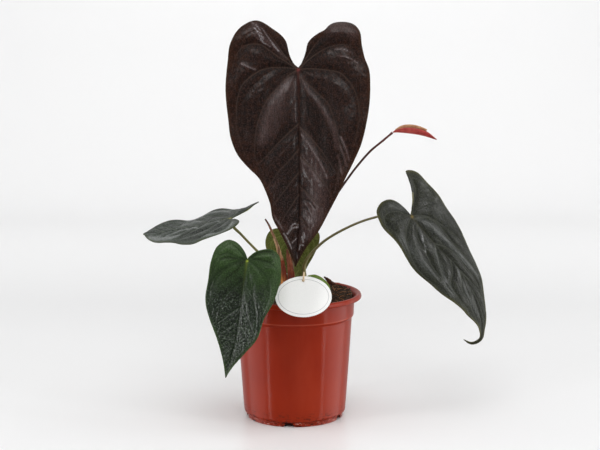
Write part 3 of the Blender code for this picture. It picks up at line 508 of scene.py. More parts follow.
# %% Blade shapes
LOBE_BEND = ((0, 8, 30), (0, 8, 30))
WAVE_TURN = (-45, 45)
LEAVES = {
    "leaf_front": {
        "spine": [
            (3.2, 2, 355, 0, -0.96, 0.28, 12, 12, -1, -2),
            (3.3, -6, 312.5, 0, -0.98, 0.19, 12, 12, -1, -1),
            (4, -14, 270, 0, -0.98, 0.17, 14, 14, -2, -1),
            (4.4, -22, 225, 0, -0.98, 0.16, 18, 18, -3, -2),
            (4, -29, 180, 0, -0.99, 0.14, 22, 22, -3, -3),
            (0.9, -34, 142, 0, -1, 0.1, 24, 24, 0, 0)],
        "left": (
            -1.5, 0, -7, 7, -16, 9, -24, 11, -35, 23, -42, 38, -37, 49, -20, 60, -6, 62, 17, 64,
            45, 62, 61, 60, 76, 54, 87, 45, 96, 36, 106, 31, 117, 27, 132, 24, 144, 17, 157, 9,
            173, 0),
        "right": (
            -1.5, 0, -6, 4, -15, 7, -23, 9, -31, 18, -34, 24, -37.5, 27, -40, 30.5, -41.5, 38.5,
            -38.5, 49, -33, 53.5, -19, 56, -8, 58.5, 2, 62, 18, 63, 51, 59, 69, 54, 80, 49, 96,
            41, 107, 36, 122, 28, 141, 18, 156, 8, 173, 0),
        "lobe_bend": ((2, 8, 30), (4, 30, 8)), "quilt": 0.9, "wave": (0.8, 0.8), "wave_length": 46,
        "rows": 28, "columns": 72, "slot": "burgundy_leaf"},
    "leaf_right": {
        "spine": [
            (90, -9, 202, 0.55, -0.74, 0.35, 4, 6, -3, -2),
            (103.5, -10, 183.1, 0.55, -0.74, 0.35, 4, 6, -3, -2),
            (123, -10, 159.8, 0.56, -0.74, 0.33, 3, 4, -4, -3),
            (148, -10, 133.4, 0.62, -0.7, 0.3, 1, 0, -5, -5),
            (162.6, -12, 103.4, 0.7, -0.66, 0.2, 2, 0, -5, -5),
            (166.9, -13, 82.7, 0.75, -0.64, 0.1, 8, 4, 0, 0),
            (165.4, -14, 73.4, 0.75, -0.6, -0.3, 16, 20, 0, 0),
            (158.7, -13.5, 69.4, 0.2, -0.6, -0.8, 16, 20, 0, 0),
            (151, -12, 71.4, -0.3, -0.6, -0.8, 16, 20, 0, 0)],
        "left": (
            -1.5, 0, -7, 1.2, -15, 3, -24, 9.5, -27, 20, -24, 29, -12, 33, 4, 31, 20, 33, 39,
            34, 67, 32, 88, 25, 103, 17, 125, 4.5, 138, 2.6, 147, 0),
        "right": (
            -1.5, 0, -5, 4.6, -13, 14, -23, 21.5, -33.5, 23, -31, 28.5, -26.5, 33, -15, 37, 10,
            38, 32, 36.5, 51, 31, 74, 23, 90, 18, 103, 13, 114, 8, 124, 4, 138, 2.6, 147, 0),
        "lobe_bend": ((3, 8, 30), (0, 8, 30)), "quilt": 0.8, "wave": (1, 1), "wave_length": 38,
        "rows": 26, "columns": 52, "slot": "charcoal_leaf"},
    "leaf_left": {
        "spine": [
            (-37, -19, 186, -0.24, -0.1, 0.96, 0, 5, 0, -2),
            (-56.4, -10, 181.3, -0.24, -0.1, 0.96, 0, -2, 0, -2),
            (-78.2, 0, 174.4, -0.24, -0.1, 0.96, 1, -5, 0, -2),
            (-94.8, 7, 169.5, -0.2, -0.1, 0.96, 3, -6, 0, -2),
            (-108.8, 12, 166.2, -0.16, -0.12, 0.97, 4, -6, 0, -2),
            (-126.6, 19, 163.2, -0.1, -0.13, 0.97, 4, -6, 0, -2),
            (-138, 24, 161.6, -0.05, -0.13, 0.97, 8, 6, 0, 0)],
        "left": (
            -1.5, 0, -4, 5, -8, 13, -11.5, 22, -14.5, 32, -8, 35, 4, 36, 20, 37, 36, 36, 50, 31,
            66, 28, 78, 22, 86, 14, 91, 0),
        "right": (
            -1.5, 0, -4, 4, -10, 8, -16.5, 17, -17, 26, -11, 34, 2, 37, 20, 36.5, 36, 33, 51,
            27, 65, 21, 80, 12, 91, 0),
        "quilt": 0.7, "wave": (2.4, 0.9), "wave_length": 46, "wave_turn": (-145, 30), "rows": 16,
        "columns": 40, "slot": "silver_green_leaf"},
    "leaf_lower_left": {
        "spine": [
            (-36, -66, 172, -0.05, -0.96, 0.28, 8, 8, -1, -2),
            (-39.8, -72, 154.6, -0.05, -0.98, 0.2, 8, 8, -2, -2),
            (-45.2, -76, 120.5, -0.08, -0.99, 0.12, 10, 10, -2, -2),
            (-50.3, -79, 87.4, -0.1, -0.99, 0.06, 12, 12, -2, -2),
            (-58.6, -81, 54.6, -0.12, -0.99, 0, 14, 14, 0, 0)],
        "left": (
            -1.5, 0, -8, 5, -13, 12, -14, 18, -7, 27, 5, 30, 20, 30, 37, 30, 54, 24, 67, 17, 80,
            10, 92, 4, 102, 0),
        "right": (
            -1.5, 0, -7, 4, -11, 10, -13, 18, -9, 26, -1, 29, 9, 31, 20, 30, 31, 28, 47, 22, 63,
            19, 77, 11, 93, 3, 102, 0),
        "lobe_bend": ((0, 8, 30), (2, 8, 30)), "quilt": 0.8, "wave": (0.6, 0.6), "wave_length": 30,
        "rows": 22, "columns": 50, "slot": "deep_green_leaf"},
    "leaf_back": {
        "spine": [
            (1.5, 24, 172, 0, -0.9, 0.4, 8, 8, -1, -1),
            (2.1, 18, 159, 0, -0.92, 0.35, 10, 10, -1, -1),
            (3.5, 11, 140, 0, -0.95, 0.3, 12, 12, -1, -1),
            (4.8, 5, 121, 0, -0.96, 0.28, 14, 14, 0, 0)],
        "left": (
            -1.2, 0, -5, 6, -9, 14, -7, 24, 2, 29, 14, 27, 26, 18, 40, 0),
        "right": (
            -1.2, 0, -4, 7, -6, 14, -3, 20, 6, 20, 16, 15, 28, 7, 40, 0),
        "quilt": 0.4, "wave": (0.5, 0.5), "wave_length": 22, "rows": 10, "columns": 30,
        "slot": "olive_leaf"},
    "leaf_small": {
        "spine": [
            (5, -25, 128, -0.1, -0.45, 0.9, 6, 6, -2, -2),
            (10, -29, 127.5, 0, -0.45, 0.9, 6, 6, -4, -4),
            (18, -34, 126, 0.2, -0.45, 0.85, 6, 6, -4, -4),
            (26, -39, 122, 0.5, -0.45, 0.7, 6, 6, -4, -4),
            (31, -42, 115.5, 0.8, -0.45, 0.3, 6, 6, 0, 0)],
        "left": (
            -1, 0, -4, 4, -5, 8, 0, 11.5, 8, 12.5, 18, 11, 28, 6, 36, 0),
        "right": (
            -1, 0, -4, 4, -5, 8, 0, 11.5, 8, 12.5, 18, 11, 28, 6, 36, 0),
        "quilt": 0.3, "wave": (0.4, 0.4), "wave_length": 16, "rows": 8, "columns": 20,
        "slot": "young_leaf"},
}
print(len(LEAVES), "blades")

# %% Where a point of a blade is in space
BLADE_THICKNESS = 0.7


def blade_frame(leaf, along):
    """Place, direction, face normal and fold values of a blade at lengths along its midrib."""
    rows = np.asarray(leaf["spine"], dtype=float)
    steps = np.linalg.norm(np.diff(rows[:, :3], axis=0), axis=1)
    knots = np.concatenate(([-steps[0]], [0], np.cumsum(steps[1:])))
    along = np.asarray(along, dtype=float)
    read = read_keyed(knots, rows, along)
    tiny = 0.5
    ahead = read_keyed(knots, rows, along + tiny)[:, :3]
    back = read_keyed(knots, rows, along - tiny)[:, :3]
    direction = unit(ahead - back)
    normal = read[:, 3:6]
    normal = unit(normal - direction * np.sum(normal * direction, axis=1, keepdims=True))
    return read[:, :3], direction, normal, read[:, 6:10]


def blade_length(leaf):
    rows = np.asarray(leaf["spine"], dtype=float)[1:, :3]
    return line_length(rows)


def blade_place(leaf, along, across):
    """World places of blade points given along the midrib and across it, right side positive."""
    spot, direction, normal, bends = blade_frame(leaf, along)
    right = np.cross(normal, direction)
    is_right = across > 0
    fold = np.radians(np.where(is_right, bends[:, 1], bends[:, 0]))
    curl = np.radians(np.where(is_right, bends[:, 3], bends[:, 2])) / 10
    reach = np.abs(across)
    curl = np.where(np.abs(curl) < 1e-6, 1e-6, curl)
    outward = (np.sin(fold + curl * reach) - np.sin(fold)) / curl
    upward = (np.cos(fold) - np.cos(fold + curl * reach)) / curl
    side = np.where(is_right, 1, -1)
    lobes = zip(*leaf.get("lobe_bend", LOBE_BEND))
    drop, start, reach_back = (np.where(is_right, right, left) for left, right in lobes)
    upward = upward - drop * np.clip((-along - start) / reach_back, 0, None) ** 2
    return spot + right * (outward * side)[:, None] + normal * upward[:, None]


for leaf_name, leaf in LEAVES.items():
    print(leaf_name, round(blade_length(leaf)), "mm along its midrib")

# %% [markdown]
# A blade's grid follows its veins, as cloth follows its threads. Every row of points runs from
# the joint or the midrib out to the margin in a gentle bow, just as a side vein does. That way
# the veins lie along the mesh and stay crisp.

# %% Rows that run out to the margin
VEIN_ENDS = (0.19, 0.37, 0.49, 0.62, 0.70, 0.77, 0.83, 0.885, 0.94, 1)
RIB_SLANT = 1.25
ROW_BENDS = ((0, 0), (0.19, 0), (0.37, 22), (0.62, 22), (0.70, 9), (1, 9))
FAN_SPREAD = 40
ROW_BOW = 0.52
QUILT_ROOT = 0.25
QUILT_RIM = 0.2
QUILT_CLEAR = 9
QUILT_LEFT = 0.25
WAVE_REACH = 20


def outline_rows(leaf, side, places):
    """Margin points of one half, scaled so that the last one is the blade's tip."""
    outline = np.reshape(leaf[side], (-1, 2)).astype(float)
    steps = np.linalg.norm(np.diff(outline, axis=0), axis=1)
    knots = np.concatenate(([0], np.cumsum(steps)))
    rows = read_keyed(knots / knots[-1], outline, places)
    rows[:, 0] *= blade_length(leaf) / outline[-1, 0]
    return rows


def midrib_foot(leaf, along_margin):
    """Where on the midrib a row starts: slanted back from the margin, the same for both halves."""
    feet = []
    for side in ("left", "right"):
        edge = outline_rows(leaf, side, along_margin)
        feet.append(np.clip(edge[:, 0] - RIB_SLANT * edge[:, 1], 0, None))
    return np.where(along_margin > 0.5, (feet[0] + feet[1]) / 2, 0)


def row_leans(leaf, side):
    """The angle at which rows leave the midrib. In the fan they spread without crossing."""
    places = np.linspace(0, 1, 401)
    edge = outline_rows(leaf, side, places)
    foot = midrib_foot(leaf, places)
    bends = np.asarray(ROW_BENDS)
    lean = np.arctan2(edge[:, 1], edge[:, 0] - foot) + np.radians(
        np.interp(places, bends[:, 0], bends[:, 1]))
    spread = np.radians(FAN_SPREAD) * places
    fan = np.minimum.accumulate(lean + spread) - spread
    return places, np.where(foot > 0, lean, fan)


def vein_place(leaf, side, along_margin, outward):
    """Blade place of points on the rows that end at along_margin, outward 0 at their feet."""
    edge = outline_rows(leaf, side, along_margin)
    foot = midrib_foot(leaf, along_margin)
    size = np.hypot(edge[:, 1], edge[:, 0] - foot)
    lean = np.interp(along_margin, *row_leans(leaf, side))
    middle_a = foot + ROW_BOW * size * np.cos(lean)
    middle_b = ROW_BOW * size * np.sin(lean)
    t = outward
    a = (1 - t)**2 * foot + 2 * t * (1 - t) * middle_a + t**2 * edge[:, 0]
    b = 2 * t * (1 - t) * middle_b + t**2 * edge[:, 1]
    return a, b


def row_phase(along_margin):
    """How far a row lies between the two side veins beside it, 0 to 1."""
    ends = np.asarray((0,) + VEIN_ENDS)
    cell = np.clip(np.searchsorted(ends, along_margin, side="right") - 1, 0, len(ends) - 2)
    return (along_margin - ends[cell]) / (ends[cell + 1] - ends[cell])


def blade_relief(leaf, along_margin, outward, along, across):
    """Height of the quilting between the veins and of the waved margin, as on the solid."""
    body = np.clip(outward / QUILT_ROOT, 0, 1) * np.clip((1 - outward) / QUILT_RIM, 0, 1)
    body = body * np.clip(np.abs(across) / QUILT_CLEAR, 0, 1)
    quilt = QUILT_LEFT * leaf["quilt"] * np.sin(pi * row_phase(along_margin)) * body
    size = np.clip(np.abs(across) / WAVE_REACH, 0, 1)
    left_turn, right_turn = leaf.get("wave_turn", WAVE_TURN)
    turn = np.radians(np.where(across > 0, right_turn, left_turn))
    height = np.where(across > 0, leaf["wave"][1], leaf["wave"][0])
    wave = height * size * outward**3 * np.sin(2 * pi * along / leaf["wave_length"] + turn)
    return quilt + wave


print("side veins meet the margin at", VEIN_ENDS[:-1])

# %% [markdown]
# Veins are drawn as lines on the flat blade first, each through a few points given by place
# along the margin and share of the way out. Strong veins fan out of the joint and off the
# midrib, and bend towards the tip near the margin, where each runs into the next. Each point
# of the grid then asks how far the nearest line is. Near a line the face sinks into a groove,
# and the number left on the vertex tells the material where the vein is.

# %% Veins on the flat blade
FRONT_VEINS = {
    "left": [
        (15, 0, 15, 50, 17, 80), (33, 0, 27.5, 37, 25.9, 58, 27.9, 71, 30.5, 82, 34, 90, 39, 93),
        (42, 0, 41.7, 40, 43.1, 58, 44.7, 72, 47.1, 80, 50.9, 85, 55.7, 87, 60.5, 89, 64.7, 92,
         68, 95),
        (60, 0, 61.3, 21, 61.9, 40, 63.5, 59, 65.1, 71, 67.1, 82, 69.3, 87, 74, 92),
        (71.1, 0, 70.7, 33, 70.1, 64, 69.3, 87), (76.2, 0, 76.4, 28, 76, 55, 75.8, 90),
        (81, 0, 81.5, 50, 81.2, 90), (85.6, 0, 86.4, 32, 87, 66, 87.5, 90),
        (91, 0, 91.8, 50, 92.5, 85)],
    "right": [
        (14, 0, 13, 50, 15, 80), (26, 0, 25.1, 23, 26.5, 49, 27.9, 64, 30.1, 82, 35, 91),
        (44, 0, 44.3, 30, 43.7, 55, 46.9, 71, 50.3, 81, 54.5, 86, 59.3, 89, 63.5, 91, 68, 94),
        (62, 0, 62.7, 21, 63.1, 42, 65.5, 60, 67.9, 74, 72.3, 85, 77, 91),
        (71.7, 0, 71.9, 26, 72.3, 57, 72.5, 86), (77.8, 0, 77.8, 38, 77.8, 70, 78.2, 90),
        (84.2, 0, 83.8, 53, 83.2, 75, 83.8, 90), (90, 0, 90, 50, 90.5, 85)]}
RIGHT_VEINS = {
    "left": [
        (20, 0, 17.6, 35, 20.2, 61, 24.6, 84, 31, 92),
        (42, 0, 41.7, 60, 45.9, 75, 51.9, 87, 59.1, 92, 66, 95),
        (55, 0, 55.1, 20, 59.3, 35, 62.3, 55, 68.7, 76, 77, 84, 82, 90),
        (63, 0, 63.7, 9, 64.5, 40, 65.9, 70, 72.3, 82, 77, 88),
        (69.5, 0, 69.9, 27, 69.1, 60, 73.3, 77, 79.4, 82, 84, 90),
        (74, 0, 75, 40, 78.8, 50, 83, 60, 87.6, 80)],
    "right": [
        (22.6, 0, 22.6, 32, 22.6, 60, 20.4, 77, 19, 90),
        (50, 0, 51.5, 24, 53.7, 40, 57, 60, 61, 80),
        (53, 0, 53.1, 29, 56.5, 43, 64.3, 50, 68.9, 66, 72.5, 82, 76, 90),
        (63, 0, 65.9, 24, 71.5, 34, 75.2, 58, 78.8, 77, 83, 88),
        (74.3, 0, 77, 25, 79.8, 72, 83, 88), (79, 0, 83.6, 30, 87, 60, 88.5, 85)]}
LOOP_INSET = 0.155
LOOP_SCALLOP = 1.6
LOOP_START = 0.20
LOOP_END = 0.95


def in_shares(line):
    """Points given as a flat row in hundredths, as rows of place and way out."""
    return np.reshape(line, (-1, 2)) / 100


def vein_line(leaf, side, points, widths, depth, tone, count=110):
    """Rows of a, b, half width, depth and tone along one vein."""
    knots = np.linspace(0, 1, len(points))
    read = read_keyed(knots, points, np.linspace(0, 1, count))
    a, b = vein_place(leaf, side, np.clip(read[:, 0], 0, 1), np.clip(read[:, 1], 0, 1))
    share = np.linspace(0, 1, count)
    width = widths[0] + (widths[1] - widths[0]) * share
    fade = 1 - 0.45 * share
    return np.column_stack((a, b, width, depth * fade, tone * fade))


def loop_outward(leaf, side, margin):
    """Where on a row the looping vein crosses it. It bulges outwards between side veins."""
    edge = outline_rows(leaf, side, margin)
    size = np.hypot(edge[:, 1], edge[:, 0] - midrib_foot(leaf, margin))
    widest = max(leaf[side][1::2])
    inset = LOOP_INSET * widest * np.clip(1.9 - 1.3 * margin, 0.4, 1)
    inset = inset + LOOP_SCALLOP * (np.abs(np.cos(pi * row_phase(margin))) - 0.5)
    return np.clip(1 - inset / np.maximum(size, 1), 0.45, 0.96)


def half_veins(leaf, side):
    """Three kinds of vein of one half: strong side veins, the looping vein, and weak ones."""
    layout = [in_shares(line) for line in leaf.get("veins", FRONT_VEINS)[side]]
    main = [vein_line(leaf, side, line, (0.95, 0.55), 0.40, 0.85) for line in layout]
    margin = np.linspace(LOOP_START, LOOP_END, 24)
    outward = loop_outward(leaf, side, margin)
    loop = vein_line(leaf, side, np.column_stack((margin, outward)), (0.6, 0.4), 0.2, 0.45, 420)
    weak = []
    for first, second in zip(layout, layout[1:]):
        far = 0.5 * (first[-1] + second[-1])
        root = 0.5 * (first[0] + second[0])
        line = [root, root + (far - root) * (0.6, 0.5), far * (1, 0.93)]
        weak.append(vein_line(leaf, side, line, (0.5, 0.4), 0.15, 0.4))
    for end in np.arange(0.07, 0.95, 0.022):
        start = loop_outward(leaf, side, np.array([end]))[0]
        line = [(end, start), (end + 0.004, (start + 0.98) / 2), (end + 0.010, 0.98)]
        weak.append(vein_line(leaf, side, line, (0.45, 0.3), 0.09, 0.3, 24))
    return np.concatenate(main), loop, np.concatenate(weak)


def search_tree(rows):
    """A tree that finds which of many flat points is nearest to a place."""
    tree = KDTree(len(rows))
    for index, (a, b) in enumerate(rows[:, :2]):
        tree.insert((a, b, 0), index)
    tree.balance()
    return tree


def nearest(samples, points):
    """For each point, the index of the nearest sample and how far off it is."""
    tree = search_tree(samples)
    found = [tree.find((a, b, 0))[1:] for a, b in points]
    return np.array([index for index, _ in found]), np.array([away for _, away in found])


def vein_groove(leaf, side, a, b):
    """Depth of grooves, strength of vein colour, and way to the nearest strong and weak vein."""
    points = np.column_stack((a, b))
    share = np.clip(a / blade_length(leaf), 0, 1)
    rib_away = np.where(a > 0, b, np.hypot(a, b))
    rib = np.exp(-(rib_away / (1.15 - 0.6 * share)) ** 2)
    depth = 0.4 * rib * np.clip(np.hypot(a, b) / 8, 0, 1)
    tone = rib * (0.5 - 0.2 * share)
    reach = [rib_away]
    for kind in half_veins(leaf, side):
        index, away = nearest(kind, points)
        groove = np.exp(-(away / kind[index, 2]) ** 2)
        depth = np.maximum(depth, groove * kind[index, 3])
        tone = np.maximum(tone, groove * kind[index, 4])
        reach.append(away)
    return depth, tone, rib, np.minimum(reach[0], reach[1]), np.minimum(reach[2], reach[3])


LEAVES["leaf_right"]["veins"] = RIGHT_VEINS
veins = half_veins(LEAVES["leaf_front"], "left")
print("points on the side, looping and weak veins:", [len(kind) for kind in veins])

# %% [markdown]
# A real blade isn't evenly dark. Here long bulges get a painted pale sheen, and the hollows
# between them get painted shade, nearly black. These streaks are lines in the same terms as the
# veins, each with how light it is and how wide. Below 0 is painted shade, 1 is painted sheen and
# more is a glossy wet mark: a real coat of gloss with a painted highlight in its colour. They
# lift the face a little as well as tint it.

# %% Painted sheen and painted shade streaks
SHEEN_AND_SHADE_STREAKS = {
    "leaf_front": {
        "left": [
            (0.5, 4.5, 62, 13, 63, 31, 65, 50, 67, 65),
            (0.35, 6, 62.5, 10, 64.5, 22, 66.5, 35, 68, 45),
            (0.3, 1.8, 62, 5, 65, 6, 68, 7, 70, 7), (0.6, 2.2, 20, 92, 22, 68, 20, 47, 21, 25),
            (1.4, 0.7, 21, 97, 22, 77, 24, 58), (1.3, 0.6, 19, 85, 19, 60, 20, 40),
            (0.9, 0.7, 23, 90, 24, 70, 23, 50), (1.2, 0.5, 20, 95, 20.5, 80, 22, 66),
            (1.3, 0.9, 37, 81, 39, 70, 41, 59), (2.4, 0.9, 91, 70, 91, 44, 92, 5),
            (2.2, 0.7, 90.5, 50, 90.5, 28, 91.5, 5), (2, 0.7, 90, 89, 92, 82, 93, 79, 95, 70),
            (2, 0.6, 94, 57, 94, 13), (1.2, 0.5, 88, 42, 88, 16), (1, 0.9, 84, 92, 87, 89, 89, 86),
            (-0.6, 7, 85, 36, 87, 37, 89, 30), (-0.6, 7, 78, 17, 79, 43, 83, 62),
            (-0.5, 4, 92, 30, 95, 50, 98, 60), (-0.6, 4, 47, 11, 36, 28),
            (-0.5, 5, 70, 29, 71, 53, 72, 78), (-0.4, 5, 49, 68, 56, 71, 62, 75)],
        "right": [
            (0.6, 2.6, 62, 4, 64, 16, 65, 36, 66, 55, 68, 70),
            (0.6, 7, 78, 13, 79, 42, 82, 64, 87, 72), (0.3, 6, 72, 10, 74, 30, 77, 50),
            (0.9, 0.8, 73, 4, 74, 25, 75, 50, 76, 68), (1, 0.9, 65.5, 70, 66, 82, 66.8, 93),
            (0.9, 0.8, 67, 72, 67.6, 84, 68.5, 93), (0.9, 0.9, 69, 74, 70, 84, 71, 92),
            (0.6, 5, 18, 86, 21, 86, 26, 91), (1.1, 0.6, 30, 60, 31, 72, 33, 84),
            (1.1, 0.6, 34, 62, 35, 74, 37, 86), (2, 0.7, 92, 40, 92.5, 56),
            (2, 0.7, 93, 38, 93.5, 57), (1.8, 0.7, 96, 35, 95, 39, 94, 70),
            (1.8, 0.6, 97, 0, 98, 38), (0.45, 6, 84, 38, 87, 52, 90, 61, 93, 57),
            (-0.9, 0.9, 86, 14, 85, 38, 85, 58), (-0.9, 0.7, 87, 24, 87, 38),
            (-0.9, 0.9, 90, 32, 90, 52), (-0.5, 3, 93, 85, 96, 80, 98, 60),
            (-0.7, 6, 66, 15, 69, 35, 71, 54, 72, 72), (-0.7, 4.5, 22, 14, 20, 38, 21, 54)]},
    "leaf_right": {
        "left": [
            (0.6, 3.5, 36, 78, 50, 62, 57, 65, 63, 67, 70, 83),
            (0.7, 1.6, 63, 11, 64, 25, 65, 46, 66, 67), (0.7, 2, 72, 8, 74, 25, 78, 43, 85, 51),
            (0.8, 1.6, 55, 6, 57, 18, 58, 35), (1.4, 0.7, 57, 14, 57.5, 20),
            (1.4, 0.7, 58.5, 24, 59, 34), (0.4, 3, 15, 74, 14, 40),
            (-0.9, 2.2, 54, 11, 56, 26, 58, 30), (-0.7, 2.2, 68, 9, 70, 28, 72, 40),
            (-0.5, 3, 57, 43, 61, 57, 63, 70)],
        "right": [
            (0.7, 2.6, 53, 7, 57, 22, 62, 29, 67, 35, 70, 51, 72, 76),
            (-0.5, 3.5, 77, 16, 82, 8, 85, 12), (-0.5, 5, 41, 86, 55, 91, 64, 81)]},
    "leaf_left": {
        "left": [
            (0.9, 1.6, 76, 57, 69, 72, 63, 79, 58, 67, 50, 55), (0.6, 2.5, 81, 33, 76, 37, 72, 33),
            (0.8, 2.5, 38, 86, 47, 80, 52, 80), (-1.1, 3, 65, 42, 63, 30, 60, 24),
            (-0.8, 2.4, 75, 5, 70, 18, 66, 30), (-0.8, 1.6, 95, 27, 91, 34, 86, 38, 79, 50),
            (-0.7, 1.4, 93, 97, 88, 74, 82, 70), (-0.7, 1.4, 59, 97, 56, 95, 51, 95, 47, 94)],
        "right": [
            (1, 3, 90, 87, 82, 82, 77, 76, 75, 63), (1.3, 0.8, 81, 43, 79, 17, 74, 20, 70, 28),
            (1.2, 0.7, 70, 20, 69, 5, 62, 12), (1.2, 0.7, 83, 58, 84, 19, 83, 3),
            (0.9, 2, 46, 84, 35, 96, 27, 95, 22, 68),
            (-0.9, 3.4, 71, 69, 70, 52, 65, 47, 61, 41, 45, 43),
            (-0.7, 1.8, 62, 77, 50, 79, 42, 79, 34, 81)]},
    "leaf_lower_left": {
        "left": [
            (0.6, 4, 24, 81, 19, 76, 17, 64, 19, 35), (0.5, 2.5, 30, 87, 35, 60, 46, 30),
            (-0.9, 1.2, 29, 6, 32, 26, 31, 52, 32, 72), (-0.8, 1.2, 51, 5, 47, 22, 45, 43, 44, 64),
            (-0.7, 1.4, 52, 7, 54, 21, 55, 41), (-0.6, 4, 60, 4, 62, 23, 63, 44),
            (-0.5, 4, 65, 3, 66, 23)],
        "right": [
            (0.7, 3.5, 24, 87, 32, 88, 40, 87, 49, 89, 56, 90),
            (-0.9, 1.3, 10, 30, 12, 68, 17, 89), (0.6, 1, 16, 26, 19, 49, 20, 75),
            (-0.8, 1, 18, 20, 26, 43, 26, 70), (0.25, 0.9, 50, 6, 51, 29, 52, 51, 54, 72)]},
}
STREAK_LIFT = 0.5


def streak_share(leaf, side, a, b):
    """How light (above 0) or dark (below 0) each point is, by the streaks near it."""
    share = np.zeros(len(a))
    for strength, width, *line in leaf.get("streaks", {}).get(side, []):
        route = vein_line(leaf, side, in_shares(line), (width, width), 0, 0, 40)
        away = np.min(np.hypot(a[:, None] - route[:, 0], b[:, None] - route[:, 1]), axis=1)
        share += strength * np.exp(-(away / width) ** 2)
    return np.clip(share, -1, 1.4)


for leaf_name, streaks in SHEEN_AND_SHADE_STREAKS.items():
    LEAVES[leaf_name]["streaks"] = streaks
    print(leaf_name, sum(len(lines) for lines in streaks.values()), "streaks")

# %% [markdown]
# Between the veins a living blade is never flat. A fine net of veinlets holds it down and the
# tissue swells in each mesh of the net. Scattered seed points give such a net: the swelling is
# high where one seed is much nearer than the next, and low where two are equally near.

# %% The net between the veins


def net_swelling(a, b, size, seed):
    """0 on the net's lines and 1 in the middle of its meshes, which are about size across."""
    rng = np.random.default_rng(seed)
    across = np.arange(a.min() - size, a.max() + size, size)
    along = np.arange(b.min() - size, b.max() + size, size * 0.8)
    seeds = np.stack(np.meshgrid(across, along, indexing="ij"), axis=-1).reshape(-1, 2)
    seeds = seeds + rng.uniform(-0.38, 0.38, seeds.shape) * size
    tree = search_tree(seeds)
    gaps = []
    for x, y in zip(a, b):
        first, second = tree.find_n((x, y, 0), 2)
        gaps.append(second[2] - first[2])
    return 1 - np.exp(-np.array(gaps) / (0.28 * size))


def soft_noise(x, y, seed):
    """Smooth noise from -1 to 1 at points, one hill or hollow for each unit of x and y."""
    table = np.random.default_rng(seed).uniform(-1, 1, (64, 64))
    column = np.floor(x).astype(int)
    row = np.floor(y).astype(int)
    u = x - column
    v = y - row
    u = u * u * (3 - 2 * u)
    v = v * v * (3 - 2 * v)
    corner = [table[(column + i) % 64, (row + j) % 64] for i in (0, 1) for j in (0, 1)]
    low = corner[0] + (corner[2] - corner[0]) * u
    high = corner[1] + (corner[3] - corner[1]) * u
    return low + (high - low) * v


print("middle of a mesh:", net_swelling(np.array([0, 30]), np.array([0, 30]), 5, 1))

# %% [markdown]
# Now the blade itself. Both halves share the points of the midrib, so equal points are merged
# and the blade is one sheet. Solidify gives it its thickness, and its second material slot
# gives the underside a finish of its own.

# %% Make a blade
NET_SIZE = 5.6
NET_HEIGHT = 0.16
CRINKLE_SIZE = 2.2
CRINKLE_STRETCH = 1.9
RIM_WIDTH = 1.6
SWELL = 1.7
SWELL_REACH = 6
ROLL = 0.55
RIPPLE = 0.25
LANE_LENGTH = 200
JOINT_RUN = 0.10
JOINT_SPOT = 1.5


def merged(vertices, faces, values, flat_map):
    """Merges equal points, and drops what is left of a face that shrank to a line."""
    keys = np.round(vertices * 2000).astype(np.int64)
    _, first, place = np.unique(keys, axis=0, return_index=True, return_inverse=True)
    place = place.ravel()
    kept = []
    for face in faces:
        corners = list(dict.fromkeys(int(place[i]) for i in face))
        if len(corners) > 2:
            kept.append(corners)
    return vertices[first], kept, {k: v[first] for k, v in values.items()}, flat_map[first]


